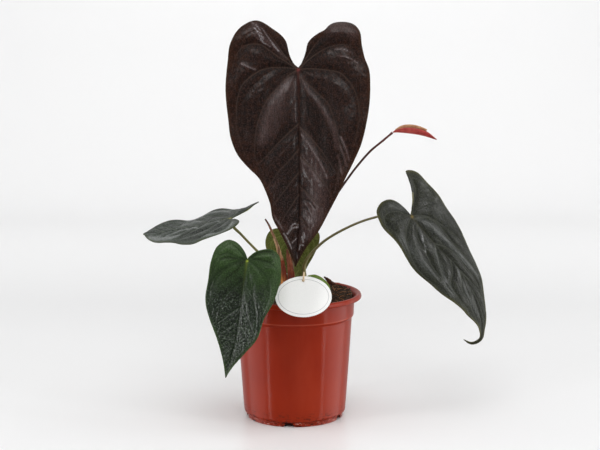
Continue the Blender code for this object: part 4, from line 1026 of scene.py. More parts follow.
def half_blade(leaf, side, sign, seed):
    """Points, stored values and flat map of one half."""
    ends = np.asarray((0,) + VEIN_ENDS)
    margins = [np.linspace(low, high, leaf["rows"], endpoint=False)
               for low, high in zip(ends, ends[1:])]
    margins = np.append(np.concatenate(margins), 1)
    outward = (np.arange(leaf["columns"] + 1) / leaf["columns"]) ** 1.15
    margin, out = (grid.ravel() for grid in np.meshgrid(margins, outward, indexing="ij"))
    a, b = vein_place(leaf, side, margin, out)
    groove, tone, rib, strong, weaker = vein_groove(leaf, side, a, b)
    across = b * sign
    edge = outline_rows(leaf, side, margin)
    inset = np.hypot(a - edge[:, 0], b - edge[:, 1])
    share = np.clip(a / blade_length(leaf), 0, 1)
    swell = 1 - np.exp(-(np.maximum(strong, 0) / SWELL_REACH) ** 1.4)
    fold = swell * (1 - np.exp(-(inset / 5) ** 1.2))
    fade = np.clip(b / 3, 0, 1) * np.clip(inset / 3, 0, 1) * (1 - 0.8 * tone)
    net = net_swelling(a, across, leaf.get("net", NET_SIZE), seed)
    crinkle = net_swelling(a, across / CRINKLE_STRETCH, CRINKLE_SIZE, seed + 50)
    relief = blade_relief(leaf, margin, out, a, across) - groove
    relief += leaf.get("swell", SWELL) * fold
    relief += fade * 0.35 * (1 - np.exp(-(weaker / 2.5) ** 1.5))
    relief += fade * leaf.get("net_height", NET_HEIGHT) * net
    relief += fade * leaf.get("crinkle", 0) * crinkle * np.clip(share * 3 - 0.6, 0, 1)
    size = np.hypot(edge[:, 1], edge[:, 0] - midrib_foot(leaf, margin))
    run = out * size
    lane = margin * LANE_LENGTH + 7 * sign
    relief += swell * leaf.get("roll", ROLL) * soft_noise(run / 9, lane / 11, seed + 7)
    ripple = soft_noise(run / 2.4, lane / 12, seed + 8) * soft_noise(run / 20, lane / 16, 3)
    relief += fade * leaf.get("ripple", RIPPLE) * ripple
    streak = streak_share(leaf, side, a, b)
    relief += fade * STREAK_LIFT * np.minimum(streak, 1)
    wrinkled = 0.85 * np.clip(share * 4.5 - 0.7, 0, 1) if "crinkle" in leaf else 0 * share
    flat = blade_place(leaf, a, across)
    points = flat + blade_frame(leaf, a)[2] * relief[:, None]
    joint = np.exp(-(np.hypot(a - 0.5, b) / leaf.get("joint_spot", JOINT_SPOT)) ** 2)
    near_joint = np.exp(-np.clip(a, 0, None) / (JOINT_RUN * blade_length(leaf)))
    joint = np.maximum(joint, leaf.get("rib_joint", 0.5) * rib * near_joint)
    values = {"vein": tone, "net": net, "along": share, "rim": np.exp(-(inset / RIM_WIDTH) ** 2),
              "joint": joint, "half": np.full(len(a), sign), "fold": fold,
              "run": run, "lane": lane, "border": np.exp(-inset / 9), "streak": streak,
              "wrinkled": wrinkled}
    return points, values, np.column_stack((a, across)) / 100, len(margins)


def make_blade(name, leaf, seed, materials):
    points = []
    faces = []
    values = []
    maps = []
    for side, sign in (("left", -1), ("right", 1)):
        start = sum(len(p) for p in points)
        half, numbers, flat_map, rows = half_blade(leaf, side, sign, seed)
        quads = grid_faces(rows, leaf["columns"] + 1, start=start)
        faces += quads if sign < 0 else [quad[::-1] for quad in quads]
        points.append(half)
        values.append(numbers)
        maps.append(flat_map)
    values = {key: np.concatenate([v[key] for v in values]) for key in values[0]}
    sheet = merged(np.concatenate(points), faces, values, np.concatenate(maps))
    blade = make_object(name + "_blade", sheet[0], sheet[1], materials, sheet[2], sheet[3])
    thick = blade.modifiers.new("thickness", "SOLIDIFY")
    thick.thickness = BLADE_THICKNESS * MM
    thick.offset = 0
    thick.material_offset = 1
    settle(blade)
    blade.data.shade_smooth()
    return finish_piece(blade, leaf["slot"], name)

# %% [markdown]
# The upper face of a blade is one shared group. It starts from a colour that changes from the
# joint to the tip, mottles it, adds painted sheen, painted highlights and painted shade, and lays
# the veins, the margin and the joint over it from the numbers stored on the mesh. The height it
# puts out is finer than the mesh: a grain of tiny cells that breaks up the highlights.

# %% Shared group: blade from above
FINISH = [("Color", "Color"), ("Roughness", "Float"), ("Height", "Float")]
# Sheen is the colour of the painted sheen and painted highlights on a blade's upper face.
SKIN_COLOURS = ("Near", "Far", "Mottle", "Vein", "Rim", "Joint", "Sheen")
SKIN_SHARES = ("Far from", "Mottle share", "Net share", "Sheen share", "Gloss")
RIPPLE_RUN = 0.75
RIPPLE_LANE = 0.2


def ripple_place(tree):
    """A place for noise that is drawn out from vein to vein, so that it makes fine ripples."""
    return step(tree, "ShaderNodeCombineXYZ", {
        0: stored(tree, "run") * RIPPLE_RUN, 1: stored(tree, "lane") * RIPPLE_LANE,
        2: stored(tree, "half")})[0]


def make_leaf_skin():
    inputs = [(label, "Color") for label in SKIN_COLOURS]
    inputs += [(label, "Float") for label in SKIN_SHARES]
    tree, given, result = new_group("leaf_skin", inputs, FINISH + [("Wet", "Float")])
    along, fold, streak, vein, wrinkled = (
        stored(tree, name) for name in ("along", "fold", "streak", "vein", "wrinkled"))
    place = flat_place(tree)
    broad = cloud(place, 9, 4)
    patch = cloud(place, 30, 5, 0.62)
    grain = cells(place, 95)
    ripple = cloud(ripple_place(tree), 1, 3, 0.6)
    far = span(along + (broad - 0.5) * 0.5, given["Far from"], given["Far from"] + 0.3)
    colour = mix(far, given["Near"], given["Far"])
    spots = span(patch, 0.42, 0.66) + stored(tree, "border") * span(broad, 0.35, 0.6, 0.2, 1)
    spots = span(spots * given["Mottle share"], 0, 1)
    colour = mix(spots, colour, given["Mottle"])
    # Painted sheen: the bulges between the veins turn paler, as if they caught the light.
    painted_sheen = span(fold, 0.25, 0.9) * span(ripple, 0.4, 0.62)
    painted_sheen = painted_sheen * given["Sheen share"]
    # Painted sheen along the light streaks, broken up by fine threads.
    light = span(streak, 0, 1)
    thread = cloud(ripple_place(tree), 2.6, 3, 0.65)
    light = light * span(thread, 0.4, 0.62, 0.35, 1)
    colour = mix(span(painted_sheen + light, 0, 1), colour, given["Sheen"])
    # Painted highlight: the strongest streaks turn pale grey, a painted reflection on glossy wet
    # marks.
    glint = span(streak, 0.75, 1.3, 0, 0.85) * span(thread, 0.42, 0.56)
    colour = mix(glint, colour, (138, 136, 138))
    # Painted shade: the dark streaks go nearly black, as the shaded hollows between bulges.
    dark = span(streak, -1, 0, 0.7, 0)
    colour = mix(dark, colour, (13, 11, 9))
    fleck = cloud(place, 85, 3, 0.7)
    colour = mix(span(fleck, 0.36, 0.54, 0.45, 0), colour, (13, 11, 9))
    # Painted sparkle: pale specks of the sheen colour, more of them towards the tip.
    painted_sheen_specks = span(fleck, 0.5, 0.7, 0, 0.46) * span(along, 0.3, 0.8, 0.8, 1.5)
    colour = mix(painted_sheen_specks, colour, given["Sheen"])
    crinkle_shading = cloud(place, 62, 3, 0.7)
    # Painted shade in the hollows of the crinkled part of a blade.
    low = span(crinkle_shading, 0.4, 0.48, 0.75, 0) * wrinkled
    colour = mix(low, colour, (22, 27, 23))
    # Painted highlights on the tops of the crinkles.
    high = span(crinkle_shading, 0.53, 0.62, 0, 0.55) * wrinkled
    colour = mix(high, colour, (110, 118, 110))
    lines = 1 - span(stored(tree, "net"), 0, 0.4)
    colour = mix(lines * given["Net share"], colour, given["Vein"])
    colour = mix(span(vein, 0.12, 1, 0, 0.9), colour, given["Vein"])
    rim = stored(tree, "rim") * span(broad, 0.3, 0.6, 0.25, 1)
    colour = mix(rim, colour, given["Rim"])
    feed(result["Color"], mix(stored(tree, "joint"), colour, given["Joint"]))
    dull = span(patch, 0.35, 0.7, 0, 0.14) + span(vein, 0, 1, 0, 0.2)
    feed(result["Roughness"], dull + given["Gloss"])
    feed(result["Height"], span(grain, 0, 0.35) * 0.3 + ripple * 2.4)
    wet = span(broad, 0.42, 0.6, 0.15, 1) * span(ripple, 0.4, 0.62, 0.25, 1)
    wet = wet * span(fold, 0.15, 0.6, 0.1, 1)
    wet = wet * span(along, 0.3, 0.8, 0.5, 1)
    wet = wet * span(streak, -0.7, 0, 0, 1)
    feed(result["Wet"], maths("MAXIMUM", wet + light * 0.4 + glint, wrinkled * 0.72))
    return tree


def make_leaf_under():
    inputs = [(label, "Color") for label in ("Blade", "Vein")]
    tree, given, result = new_group("leaf_under", inputs, FINISH)
    place = flat_place(tree)
    patch = cloud(place, 26, 5, 0.6)
    darker = mix(span(patch, 0.35, 0.7, 0, 0.55), given["Blade"], (40, 44, 26))
    lines = 1 - span(stored(tree, "net"), 0, 0.4)
    share = maths("MAXIMUM", stored(tree, "vein"), lines * 0.35)
    feed(result["Color"], mix(share, darker, given["Vein"]))
    feed(result["Roughness"], span(patch, 0.3, 0.7, 0.5, 0.66))
    feed(result["Height"], cells(place, 110) + patch)
    return tree


LEAF_SKIN = make_leaf_skin()
LEAF_UNDER = make_leaf_under()
print("shared groups:", LEAF_SKIN.name, LEAF_UNDER.name)

# %% [markdown]
# The six blades differ in age, and so in colour. The old front blade is nearly black with a
# wine-red tinge, the ones at the sides are grey-green, and the youngest is fresh green.

# %% Blade finishes
BLADES = {
    "leaf_front": (
        [(15, 8, 6), (13, 9, 9), (58, 31, 17), (72, 57, 50), (56, 36, 22), (110, 50, 48),
        (88, 69, 67), 0.5, 0.55, 0.15, 0.12, 0.34],
        {"Blade": (78, 52, 46), "Vein": (120, 78, 66)}, {"rib_joint": 0.35}),
    "leaf_right": (
        [(34, 35, 30), (36, 36, 27), (44, 46, 30), (72, 74, 66), (80, 78, 46), (118, 102, 60),
        (92, 94, 92), 0.72, 0.6, 0.15, 0.2, 0.32],
        {"Blade": (104, 100, 66), "Vein": (146, 140, 92)}, {"rib_joint": 0.1}),
    "leaf_left": (
        [(54, 58, 53), (48, 54, 48), (64, 70, 62), (92, 98, 86), (64, 72, 46), (150, 148, 76),
        (142, 146, 144), 0.5, 0.6, 0.2, 0.25, 0.34],
        {"Blade": (118, 122, 66), "Vein": (150, 150, 86)}, {"rib_joint": 0.2}),
    "leaf_lower_left": (
        [(44, 64, 31), (28, 31, 28), (47, 58, 39), (40, 54, 32), (58, 78, 40), (160, 174, 60),
        (80, 102, 66), 0.05, 0.45, 0.1, 0.15, 0.26],
        {"Blade": (92, 112, 66), "Vein": (130, 146, 84)}, {"net_height": 0.3, "crinkle": 0.75,
        "rib_joint": 0.22, "swell": 0.9, "ripple": 0.08, "joint_spot": 0.95}),
    "leaf_back": (
        [(92, 104, 44), (100, 108, 58), (116, 122, 64), (138, 144, 78), (120, 116, 62),
        (150, 150, 70), (130, 136, 84), 0.5, 0.6, 0.3, 0.2, 0.42],
        {"Blade": (120, 128, 70), "Vein": (150, 156, 92)}, {"swell": 0.6}),
    "leaf_small": (
        [(84, 112, 42), (98, 126, 52), (106, 132, 62), (112, 134, 64), (116, 130, 62),
        (140, 152, 80), (150, 168, 100), 0.5, 0.5, 0.3, 0.2, 0.4],
        {"Blade": (132, 152, 84), "Vein": (160, 176, 108)}, {"swell": 0.4}),
}


def blade_materials(name, skin_values, under_values):
    """The upper and the under material of a blade."""
    top, tree, shader = new_material(name + "_upper", Specular_IOR_Level=0.08,
                                     Coat_Roughness=0.23)
    skin = use_group(tree, LEAF_SKIN, **dict(zip(SKIN_COLOURS + SKIN_SHARES, skin_values)))
    dress(shader, skin["Color"], skin["Roughness"], skin["Height"], 0.8, 0.2)
    feed(shader.inputs["Coat Weight"], skin["Wet"])
    low, tree, shader = new_material(name + "_under", Specular_IOR_Level=0.35)
    skin = use_group(tree, LEAF_UNDER, **under_values)
    dress(shader, skin["Color"], skin["Roughness"], skin["Height"], 0.5, 0.12)
    return [top, low]

# %% Make the six blades
for seed, (leaf_name, leaf) in enumerate(LEAVES.items()):
    skin_values, under_values, relief = BLADES[leaf_name]
    leaf.update(relief)
    make_blade(leaf_name, leaf, seed, blade_materials(leaf_name, skin_values, under_values))

# %% [markdown]
# Stalks are tubes along a path, so Geometry Nodes make them. One tree serves every stalk: it
# turns a chain of edges into a curve, sweeps a ring along it at the thickness stored on each
# point, and leaves "run" on the mesh, 0 at the foot and 1 at the top. Materials colour by run.

# %% Build and run node trees


def new_tree(name, inputs):
    """A geometry tree whose first socket is the geometry, then the named inputs."""
    shape = ("Geometry", "Geometry")
    return new_group(name, [shape] + inputs, [shape], "GeometryNodeTree")


def geo(tree, kind, values=()):
    """Adds a geometry node and gives its first output."""
    return step(tree, "GeometryNode" + kind, values)[0]


def run_tree(made, tree, **values):
    """Sets a tree's inputs by socket identifier, and keeps only the mesh that comes out."""
    shaper = made.modifiers.new(tree.name, "NODES")
    shaper.node_group = tree
    for item in tree.interface.items_tree:
        key = item.name.replace(" ", "_")
        if item.item_type == "SOCKET" and item.in_out == "INPUT" and key in values:
            shaper[item.identifier] = values[key]
    return settle(made)


def close_tree(tree, result, geometry, material):
    """Every tree ends alike: real geometry in place of instances, and a material on it."""
    real = geo(tree, "RealizeInstances", {"Geometry": geometry})
    smooth = geo(tree, "SetShadeSmooth", {"Geometry": real})
    feed(result[0], geo(tree, "SetMaterial", {"Geometry": smooth, "Material": material}))


def make_stalk_tree():
    tree, given, result = new_tree("stalk", [
        ("Sides", "Int"), ("Bump scale", "Float"), ("Bump height", "Float"),
        ("Skin", "Material")])
    line = geo(tree, "MeshToCurve", {"Mesh": given[0]})
    factor = geo(tree, "SplineParameter")
    line = geo(tree, "StoreNamedAttribute", {"Geometry": line, "Name": "run", "Value": factor})
    thick = geo(tree, "InputNamedAttribute", {"Name": "thick"})
    ring = geo(tree, "CurvePrimitiveCircle",
                {"Resolution": given["Sides"], "Radius": 1})
    skin = geo(tree, "CurveToMesh", {"Curve": line, "Profile Curve": ring,
                                                  "Scale": thick, "Fill Caps": True})
    noisy = step(tree, "ShaderNodeTexNoise", {"Scale": given["Bump scale"], "Detail": 2})[0]
    lift = (noisy - 0.5) * given["Bump height"]
    normal = geo(tree, "InputNormal")
    offset = step(tree, "ShaderNodeVectorMath", {"Vector": normal, "Scale": lift},
                  operation="SCALE")[0]
    skin = geo(tree, "SetPosition", {"Geometry": skin, "Offset": offset})
    close_tree(tree, result, skin, given["Skin"])
    return tree


STALK_TREE = make_stalk_tree()
print("tree inputs:", [item.name for item in STALK_TREE.interface.items_tree])

# %% [markdown]
# A stalk's skin changes from its foot to its top and carries faint lengthwise streaks and
# specks. That is one shared group too, used for the leaf stalks and the flower's stalk alike.

# %% Shared group: stalk skin


def make_stalk_skin():
    inputs = [(label, "Color") for label in ("Foot", "Middle", "Top", "Speck")]
    tree, given, result = new_group("stalk_skin", inputs, FINISH)
    place = object_place(tree)
    run = stored(tree, "run")
    broad = cloud(place, 90, 2)
    streak = cloud(stretch(place, (1, 1, 0.12)), 1500, 2)
    speck = cloud(place, 900, 3)
    wander = run + (broad - 0.5) * 0.2
    colour = mix(span(wander, 0.02, 0.35), given["Foot"], given["Middle"])
    colour = mix(span(wander, 0.8, 0.98), colour, given["Top"])
    colour = mix(span(streak, 0.5, 0.7, 0, 0.45), colour, given["Speck"])
    colour = mix(span(speck, 0.6, 0.72, 0, 0.5), colour, given["Speck"])
    feed(result["Color"], colour)
    feed(result["Roughness"], span(broad, 0.3, 0.7, 0.34, 0.5))
    feed(result["Height"], streak + speck)
    return tree


STALK_SKIN = make_stalk_skin()


def stalk_material(name, foot, middle, top, speck):
    made, tree, shader = new_material(name)
    skin = use_group(tree, STALK_SKIN, Foot=foot, Middle=middle, Top=top, Speck=speck)
    dress(shader, skin["Color"], skin["Roughness"], skin["Height"], 0.4, 0.08)
    return made

# %% [markdown]
# Each leaf stalk starts on the dome of the short stem and ends just behind its blade. The last
# few millimetres swell into a joint that lets the leaf turn to the light. Wrinkles across that
# joint come from the thickness itself, which rises and falls along the last rows.

# %% Leaf stalks
CROWN_FOOT_Z = 74
STALK_POINTS = 150
JOINT_SHARE = 0.045
PETIOLES = {
    "petiole_front": (
        "leaf_front", (-90, 12), 2.3, 1.7, [(-2, -2.5, 150, 1.9), (0.5, -1.5, 210, 1.6),
        (2.5, 2, 270, 1.4), (3.2, 3, 300, 1.5)],
        [(120, 84, 48), (96, 78, 44), (120, 60, 50), (70, 52, 36)]),
    "petiole_right": (
        "leaf_right", (-20, 52), 2, 1.4, [(9, -2, 139, 1.6), (22, -1, 155.5, 1.25),
        (45, -1, 170.5, 1.1), (70, -2, 180.5, 1.05), (88, -3, 184, 1.1)],
        [(156, 146, 86), (112, 104, 62), (136, 126, 74), (66, 58, 40)]),
    "petiole_left": (
        "leaf_left", (158, 50), 1.9, 1.4, [(-17, 2, 134, 1.5), (-33, -5, 150.7, 1.2),
        (-47, -8, 166, 1.15)],
        [(118, 100, 60), (122, 116, 66), (128, 128, 68), (80, 66, 42)]),
    "petiole_lower_left": (
        "leaf_lower_left", (-160, 62), 2, 1.5, [(-19.5, -7.5, 124, 1.8), (-27, -26, 142, 1.5),
        (-35, -52, 153, 1.4), (-38, -64, 155, 1.5)],
        [(110, 96, 56), (104, 100, 56), (150, 156, 84), (72, 60, 38)]),
    "petiole_back": (
        "leaf_back", (112, 56), 2, 1.3,
        [(-5, 15, 128, 1.6), (-2, 24, 145, 1.3), (1, 25, 155, 1.3)],
        [(120, 100, 60), (116, 112, 62), (136, 134, 78), (80, 66, 42)]),
    "petiole_small": (
        "leaf_small", (-58, 62), 1.8, 1.1, [(5, -17, 118, 1.4), (9, -25, 122, 1.1)],
        [(116, 104, 60), (120, 124, 64), (138, 148, 80), (80, 74, 42)]),
}


def crown_seat(azimuth, polar, lift):
    """A point above the stem's dome, given its compass angle and its angle from the top."""
    around = radians(azimuth)
    down = radians(polar)
    reach = CROWN_RADIUS + SEAT_GAP + lift
    return (CROWN_X + reach * sin(down) * cos(around),
            CROWN_Y + reach * sin(down) * sin(around),
            CROWN_DOME_Z + reach * cos(down))


def blade_joint(name, back):
    """A point behind the foot of a blade's midrib, square to the blade."""
    spot, _, normal, _ = blade_frame(LEAVES[name], [1.2])
    return tuple(spot[0] - normal[0] * (BLADE_THICKNESS / 2 + SEAT_GAP + back))


def make_stalk(name, route, material, wrinkled, count=STALK_POINTS, bump=0.12):
    """A stalk along rows of x, y, z and radius."""
    places = 0.5 - 0.5 * np.cos(pi * np.linspace(0, 1, count))
    rows = read_curve(route, places)
    thick = rows[:, 3].copy()
    if wrinkled:
        near_top = np.clip((places - 1 + JOINT_SHARE) / JOINT_SHARE, 0, 1)
        thick += near_top * (0.12 + 0.07 * np.sin(places * 900))
    mesh = bpy.data.meshes.new(name)
    mesh.from_pydata((rows[:, :3] * MM).tolist(), [(i, i + 1) for i in range(count - 1)], [])
    layer = mesh.attributes.new("thick", "FLOAT", "POINT")
    layer.data.foreach_set("value", (thick * MM).astype(np.float32))
    made = add_to_scene(name + "_skin", mesh)
    return run_tree(made, STALK_TREE, Sides=20, Bump_scale=600.0, Bump_height=bump * MM,
                    Skin=material)


for name, (leaf_name, seat, foot, joint, way, colours) in PETIOLES.items():
    route = [(*crown_seat(*seat, 0), foot), (*crown_seat(*seat, 6), foot)] + way
    route += [(*blade_joint(leaf_name, back), joint) for back in (4, 0)]
    skin = stalk_material(name + "_finish", *colours)
    finish_piece(make_stalk(name, route, skin, True), "petiole_skin", name)

# %% [markdown]
# The flower is a thin dark red stalk, a narrow red bract folded like a boat, and a tan spike
# that lies in it. The spike is covered with tiny flowers, each a flat scale. They are scattered
# with an even spacing over the spike, which is how they sit on a real one.

# %% Straps: cupped blades along a line


def make_strap(name, rows, cup, face, columns, count, thickness, material, ragged=0, seed=0):
    """A cupped blade along rows of x, y, z and half width. Cup rows are place and degrees."""
    read = read_curve(rows, np.linspace(0, 1, count))
    spots = read[:, :3]
    direction = unit(np.gradient(spots, axis=0))
    face = np.asarray(face, dtype=float)
    normal = unit(face - direction * (direction @ face)[:, None])
    side = np.cross(normal, direction)
    share, u = np.meshgrid(np.linspace(0, 1, count), np.linspace(-1, 1, columns + 1),
                           indexing="ij")
    turn = np.radians(np.interp(share, [k[0] for k in cup], [k[1] for k in cup]))
    torn = np.array([[noise.noise(Vector((s * 22, copysign(3, v), seed))) for v in (-1, 1)]
                     for s in share[:, 0]])
    torn = 1 - ragged * np.clip(np.where(u < 0, torn[:, :1], torn[:, 1:]) + 0.2, 0, 1)
    reach = read[:, 3:4] * torn
    across = reach * np.sin(turn * u) / turn
    rise = reach * (1 - np.cos(turn * u)) / turn
    if ragged:
        rise = rise + 0.25 * np.sin(u * 11 + seed) * np.clip(share * 4, 0, 1)
    points = (spots[:, None] + side[:, None] * across[:, :, None]
              + normal[:, None] * rise[:, :, None]).reshape(-1, 3)
    faces = flipped(grid_faces(count, columns + 1))
    values = {"run": share.ravel(), "side": u.ravel()}
    made = make_object(name, points, faces, [material], values)
    thick = made.modifiers.new("thickness", "SOLIDIFY")
    thick.thickness = thickness * MM
    thick.offset = 0
    return settle(made)

# %% Flower
PEDUNCLE = [(6, 17, 130, 1.5), (9.5, 22, 145, 1.3), (14.5, 22, 160, 1.2), (25, 16, 178.5, 1.1),
            (44, 8, 209.6, 1), (56.6, 9, 226.5, 1), (68, 10, 239.3, 1),
            (79, 10, 248.5, 1), (85.6, 10, 254.15, 1.05), (87.05, 10, 255.4, 1.25)]
SPATHE = [
    (87.4, 10, 255.6, 0.6), (89.8, 10, 255.8, 3.4), (95, 10, 255.6, 7.4), (103, 10, 254.8, 8.8),
    (112, 10, 253.4, 8.2), (119, 10, 251.6, 5.8), (124, 10, 250, 2.6), (126.6, 10, 249.2, 0.5)]
SPADIX = [(90.3, 10, 257.7, 1.2), (96, 10, 260.3, 1.8), (104, 10, 261, 1.8),
          (112, 10, 259.4, 1.6), (117.5, 10, 257.6, 0.9)]


def spathe_material():
    made, tree, shader = new_material("red_bract", Coat_Weight=0.2, Coat_Roughness=0.3)
    place = object_place(tree)
    patch = cloud(place, 260, 4)
    lines = cloud(stretch(place, (0.12, 1, 1)), 1800, 2)
    colour = mix(span(patch, 0.35, 0.7), (168, 44, 42), (204, 84, 74))
    colour = mix(span(stored(tree, "run"), 0.75, 1), colour, (150, 36, 30))
    colour = mix(span(lines, 0.5, 0.7, 0, 0.35), colour, (120, 30, 28))
    dress(shader, colour, span(patch, 0.3, 0.7, 0.3, 0.42), lines, 0.5, 0.08)
    return made


def spadix_material():
    made, tree, shader = new_material("tan_spike")
    place = object_place(tree)
    patch = cloud(place, 500, 3)
    grain = cloud(place, 3000, 2)
    colour = mix(span(patch, 0.35, 0.7), (176, 122, 84), (206, 164, 122))
    dress(shader, colour, span(patch, 0.3, 0.7, 0.5, 0.65), grain, 0.4, 0.05)
    return made


def make_floret_tree():
    tree, given, result = new_tree("florets", [
        ("Spacing", "Float"), ("Size", "Float"), ("Seed", "Int"), ("Skin", "Material")])
    points = step(tree, "GeometryNodeDistributePointsOnFaces",
                  {"Mesh": given[0], "Distance Min": given["Spacing"], "Density Max": 6e6,
                   "Density Factor": 1, "Seed": given["Seed"]}, distribute_method="POISSON")
    scale = step(tree, "FunctionNodeRandomValue", {"Min": 0.85, "Max": 1.15})[1]
    ball = geo(tree, "MeshIcoSphere", {"Radius": given["Size"], "Subdivisions": 2})
    flat = geo(tree, "Transform", {"Geometry": ball, "Scale": (1, 1, 0.6)})
    scales = geo(tree, "InstanceOnPoints",
                  {"Points": points[0], "Instance": flat, "Rotation": points["Rotation"],
                   "Scale": scale})
    both = geo(tree, "JoinGeometry", {"Geometry": given[0]})
    feed(both.socket.node.inputs[0], scales)
    close_tree(tree, result, both, given["Skin"])
    return tree


peduncle_route = [(*crown_seat(58, 56, 0), 1.9), (*crown_seat(58, 56, 6), 1.8)] + PEDUNCLE
peduncle_skin = stalk_material("flower_stalk", (90, 58, 40), (72, 40, 33), (100, 42, 37),
                               (46, 30, 26))
finish_piece(make_stalk("peduncle", peduncle_route, peduncle_skin, False), "peduncle_skin",
             "peduncle")
finish_piece(make_strap("spathe_bract", SPATHE, ((0, 70), (0.4, 84), (0.8, 80), (1, 60)),
                        (0, 0, 1), 28, 60, 0.7, spathe_material()), "spathe_skin", "spathe")
spike_skin = spadix_material()
spike = make_stalk("spadix_spike", [(*row[:3], row[3] * 0.86) for row in SPADIX], spike_skin,
                   False, count=40, bump=0)
run_tree(spike, make_floret_tree(), Spacing=0.55 * MM, Size=0.36 * MM, Seed=5, Skin=spike_skin)
finish_piece(spike, "spadix_skin", "spadix")

# %% [markdown]
# At the foot of the stalks stand dry sheaths, the papery scales that once wrapped each young
# leaf. They have a torn edge, fibres along their length, and bands of golden brown, orange,
# cream and red. They are straps like the bract, with a ragged edge and a finish by run.

# %% Dry sheaths
SHEATH_FOOT_Z = 106.3


def sheath_foot(azimuth, half_width):
    """Rows that bring a sheath out of the stem's neck and turn it upwards."""
    around = radians(azimuth)
    rows = []
    for reach, rise, share in ((CROWN_NECK + SEAT_GAP + 0.1, 0, 0.45),
                               (CROWN_NECK + 2.7, 0.7, 0.62), (CROWN_NECK + 4.6, 4.3, 1)):
        rows.append((CROWN_X + reach * cos(around), CROWN_Y + reach * sin(around),
                     SHEATH_FOOT_Z + rise, half_width * share))
    return rows


def sheath_material(name, bands):
    """Bands are rows of place along the sheath and colour."""
    made, tree, shader = new_material(name, Specular_IOR_Level=0.3)
    place = object_place(tree)
    fibre = cloud(stretch(place, (1, 1, 0.07)), 2200, 3, 0.65)
    patch = cloud(place, 160, 4)
    run = stored(tree, "run") + span(patch, 0.3, 0.7, -0.06, 0.06)
    ramp = tree.nodes.new("ShaderNodeValToRGB")
    for index, (at, colour) in enumerate(bands):
        stops = ramp.color_ramp.elements
        stop = stops[index] if index < 2 else stops.new(at)
        stop.position = at
        stop.color = tint(*colour)
    feed(ramp.inputs[0], run)
    stripe = cloud(stretch(place, (1, 1, 0.05)), 700, 2)
    colour = mix(span(stripe, 0.5, 0.58, 0, 0.7), Wire(ramp.outputs[0]), (80, 30, 18))
    colour = mix(span(fibre, 0.5, 0.75, 0, 0.6), colour, (88, 44, 26))
    colour = mix(span(fibre, 0.2, 0.42, 0.5, 0), colour, (228, 190, 146))
    shaded = span(stored(tree, "side"), 0, 0.5) * span(stored(tree, "run"), 0.4, 0.5, 0.75, 0)
    colour = mix(shaded, colour, (96, 36, 26))
    dress(shader, colour, span(fibre, 0.3, 0.7, 0.5, 0.75), fibre, 0.7, 0.2)
    return made


SHEATH_CUP = ((0, 2), (0.15, 40), (0.5, 35), (1, 10))
SHEATHS = {
    "cataphyll_tall": (-128, 3.2, (0.5, 0.8, 0.6), [
        (-9.8, -9.8, 124, 4.3), (-11.6, -10, 140, 3.3), (-14.5, -11, 153, 2.4),
        (-19.5, -12, 168, 1.4), (-23.5, -12, 177, 0.8), (-26, -12, 181, 0.4)],
        [(0, (150, 92, 40)), (0.24, (226, 150, 72)), (0.36, (178, 78, 36)),
         (0.47, (150, 60, 32)), (0.56, (206, 160, 118)), (0.72, (222, 186, 146)),
         (0.86, (160, 112, 86)), (1, (100, 62, 48))]),
    "cataphyll_short": (-93, 3, (0.1, 0.9, 0.6), [
        (-3, -12.4, 122, 3.4), (-3.4, -12.6, 134, 3), (-5, -12.8, 144, 2.2),
        (-6.6, -12.8, 154, 0.5)],
        [(0, (104, 40, 26)), (0.4, (116, 42, 28)), (0.6, (146, 70, 46)),
         (0.8, (182, 112, 80)), (1, (130, 80, 62))]),
    "cataphyll_back": (132, 3, (0.7, -0.5, 0.6), [
        (-12.1, 10.4, 118, 3), (-15, 12.5, 129, 2), (-17.5, 14, 137, 0.5)],
        [(0, (128, 72, 44)), (0.5, (186, 122, 72)), (1, (140, 90, 60))]),
}
for seed, (name, (azimuth, half_width, face, way, bands)) in enumerate(SHEATHS.items()):
    finish_piece(make_strap(name + "_sheath", sheath_foot(azimuth, half_width) + way, SHEATH_CUP,
                            face, 24, 90, 0.6, sheath_material(name + "_finish", bands), 0.3,
                            seed), "dry_sheath", name)

# %% [markdown]
# All stalks grow from one short thick stem. Little of it shows: a rough brown dome ringed with
# the scars of old leaves. It is a turned shape whose radius is pushed in by noise.

# %% Turned shapes


def rounded(profile, radius, steps=3):
    """The profile with its corners replaced by small arcs that start radius before them."""
    rows = [np.array(row, dtype=float) for row in profile]
    out = [rows[0]]
    for before, corner, after in zip(rows, rows[1:], rows[2:]):
        to_before = before - corner
        to_after = after - corner
        reach = min(radius, *(0.4 * np.linalg.norm(v) for v in (to_before, to_after)))
        start = corner + to_before / np.linalg.norm(to_before) * reach
        end = corner + to_after / np.linalg.norm(to_after) * reach
        for t in np.linspace(0, 1, steps + 1):
            out.append((1 - t)**2 * start + 2 * t * (1 - t) * corner + t**2 * end)
    return out + [rows[-1]]


def turned(profile, steps, centre=(0, 0), change=None):
    """Vertices and faces of a solid of revolution. Change may alter the radius at each point."""
    turns = 2 * pi * np.arange(steps) / steps
    vertices = []
    rings = []
    for radius, height in profile:
        if radius < 1e-9:
            rings.append([len(vertices)] * steps)
            vertices.append((centre[0], centre[1], height))
            continue
        rings.append(list(range(len(vertices), len(vertices) + steps)))
        for turn in turns:
            r = change(radius, height, turn) if change else radius
            vertices.append((centre[0] + r * cos(turn), centre[1] + r * sin(turn),
                             height))
    faces = []
    for low, high in zip(rings, rings[1:]):
        for i in range(steps):
            j = (i + 1) % steps
            face = list(dict.fromkeys((low[i], low[j], high[j], high[i])))
            if len(face) > 2:
                faces.append(face)
    return np.array(vertices), faces


def bark_radius(radius, height, turn):
    """Old leaf scars run round the stem, and its skin is cracked between them."""
    spot = Vector((cos(turn) * 2.2, sin(turn) * 2.2, height * 0.35))
    scar = 0.35 * max(0, sin(height * 1.7 + 0.6 * sin(turn * 2))) ** 6
    return max(radius - 0.25 - scar - 0.5 * noise.noise(spot), radius * 0.4)


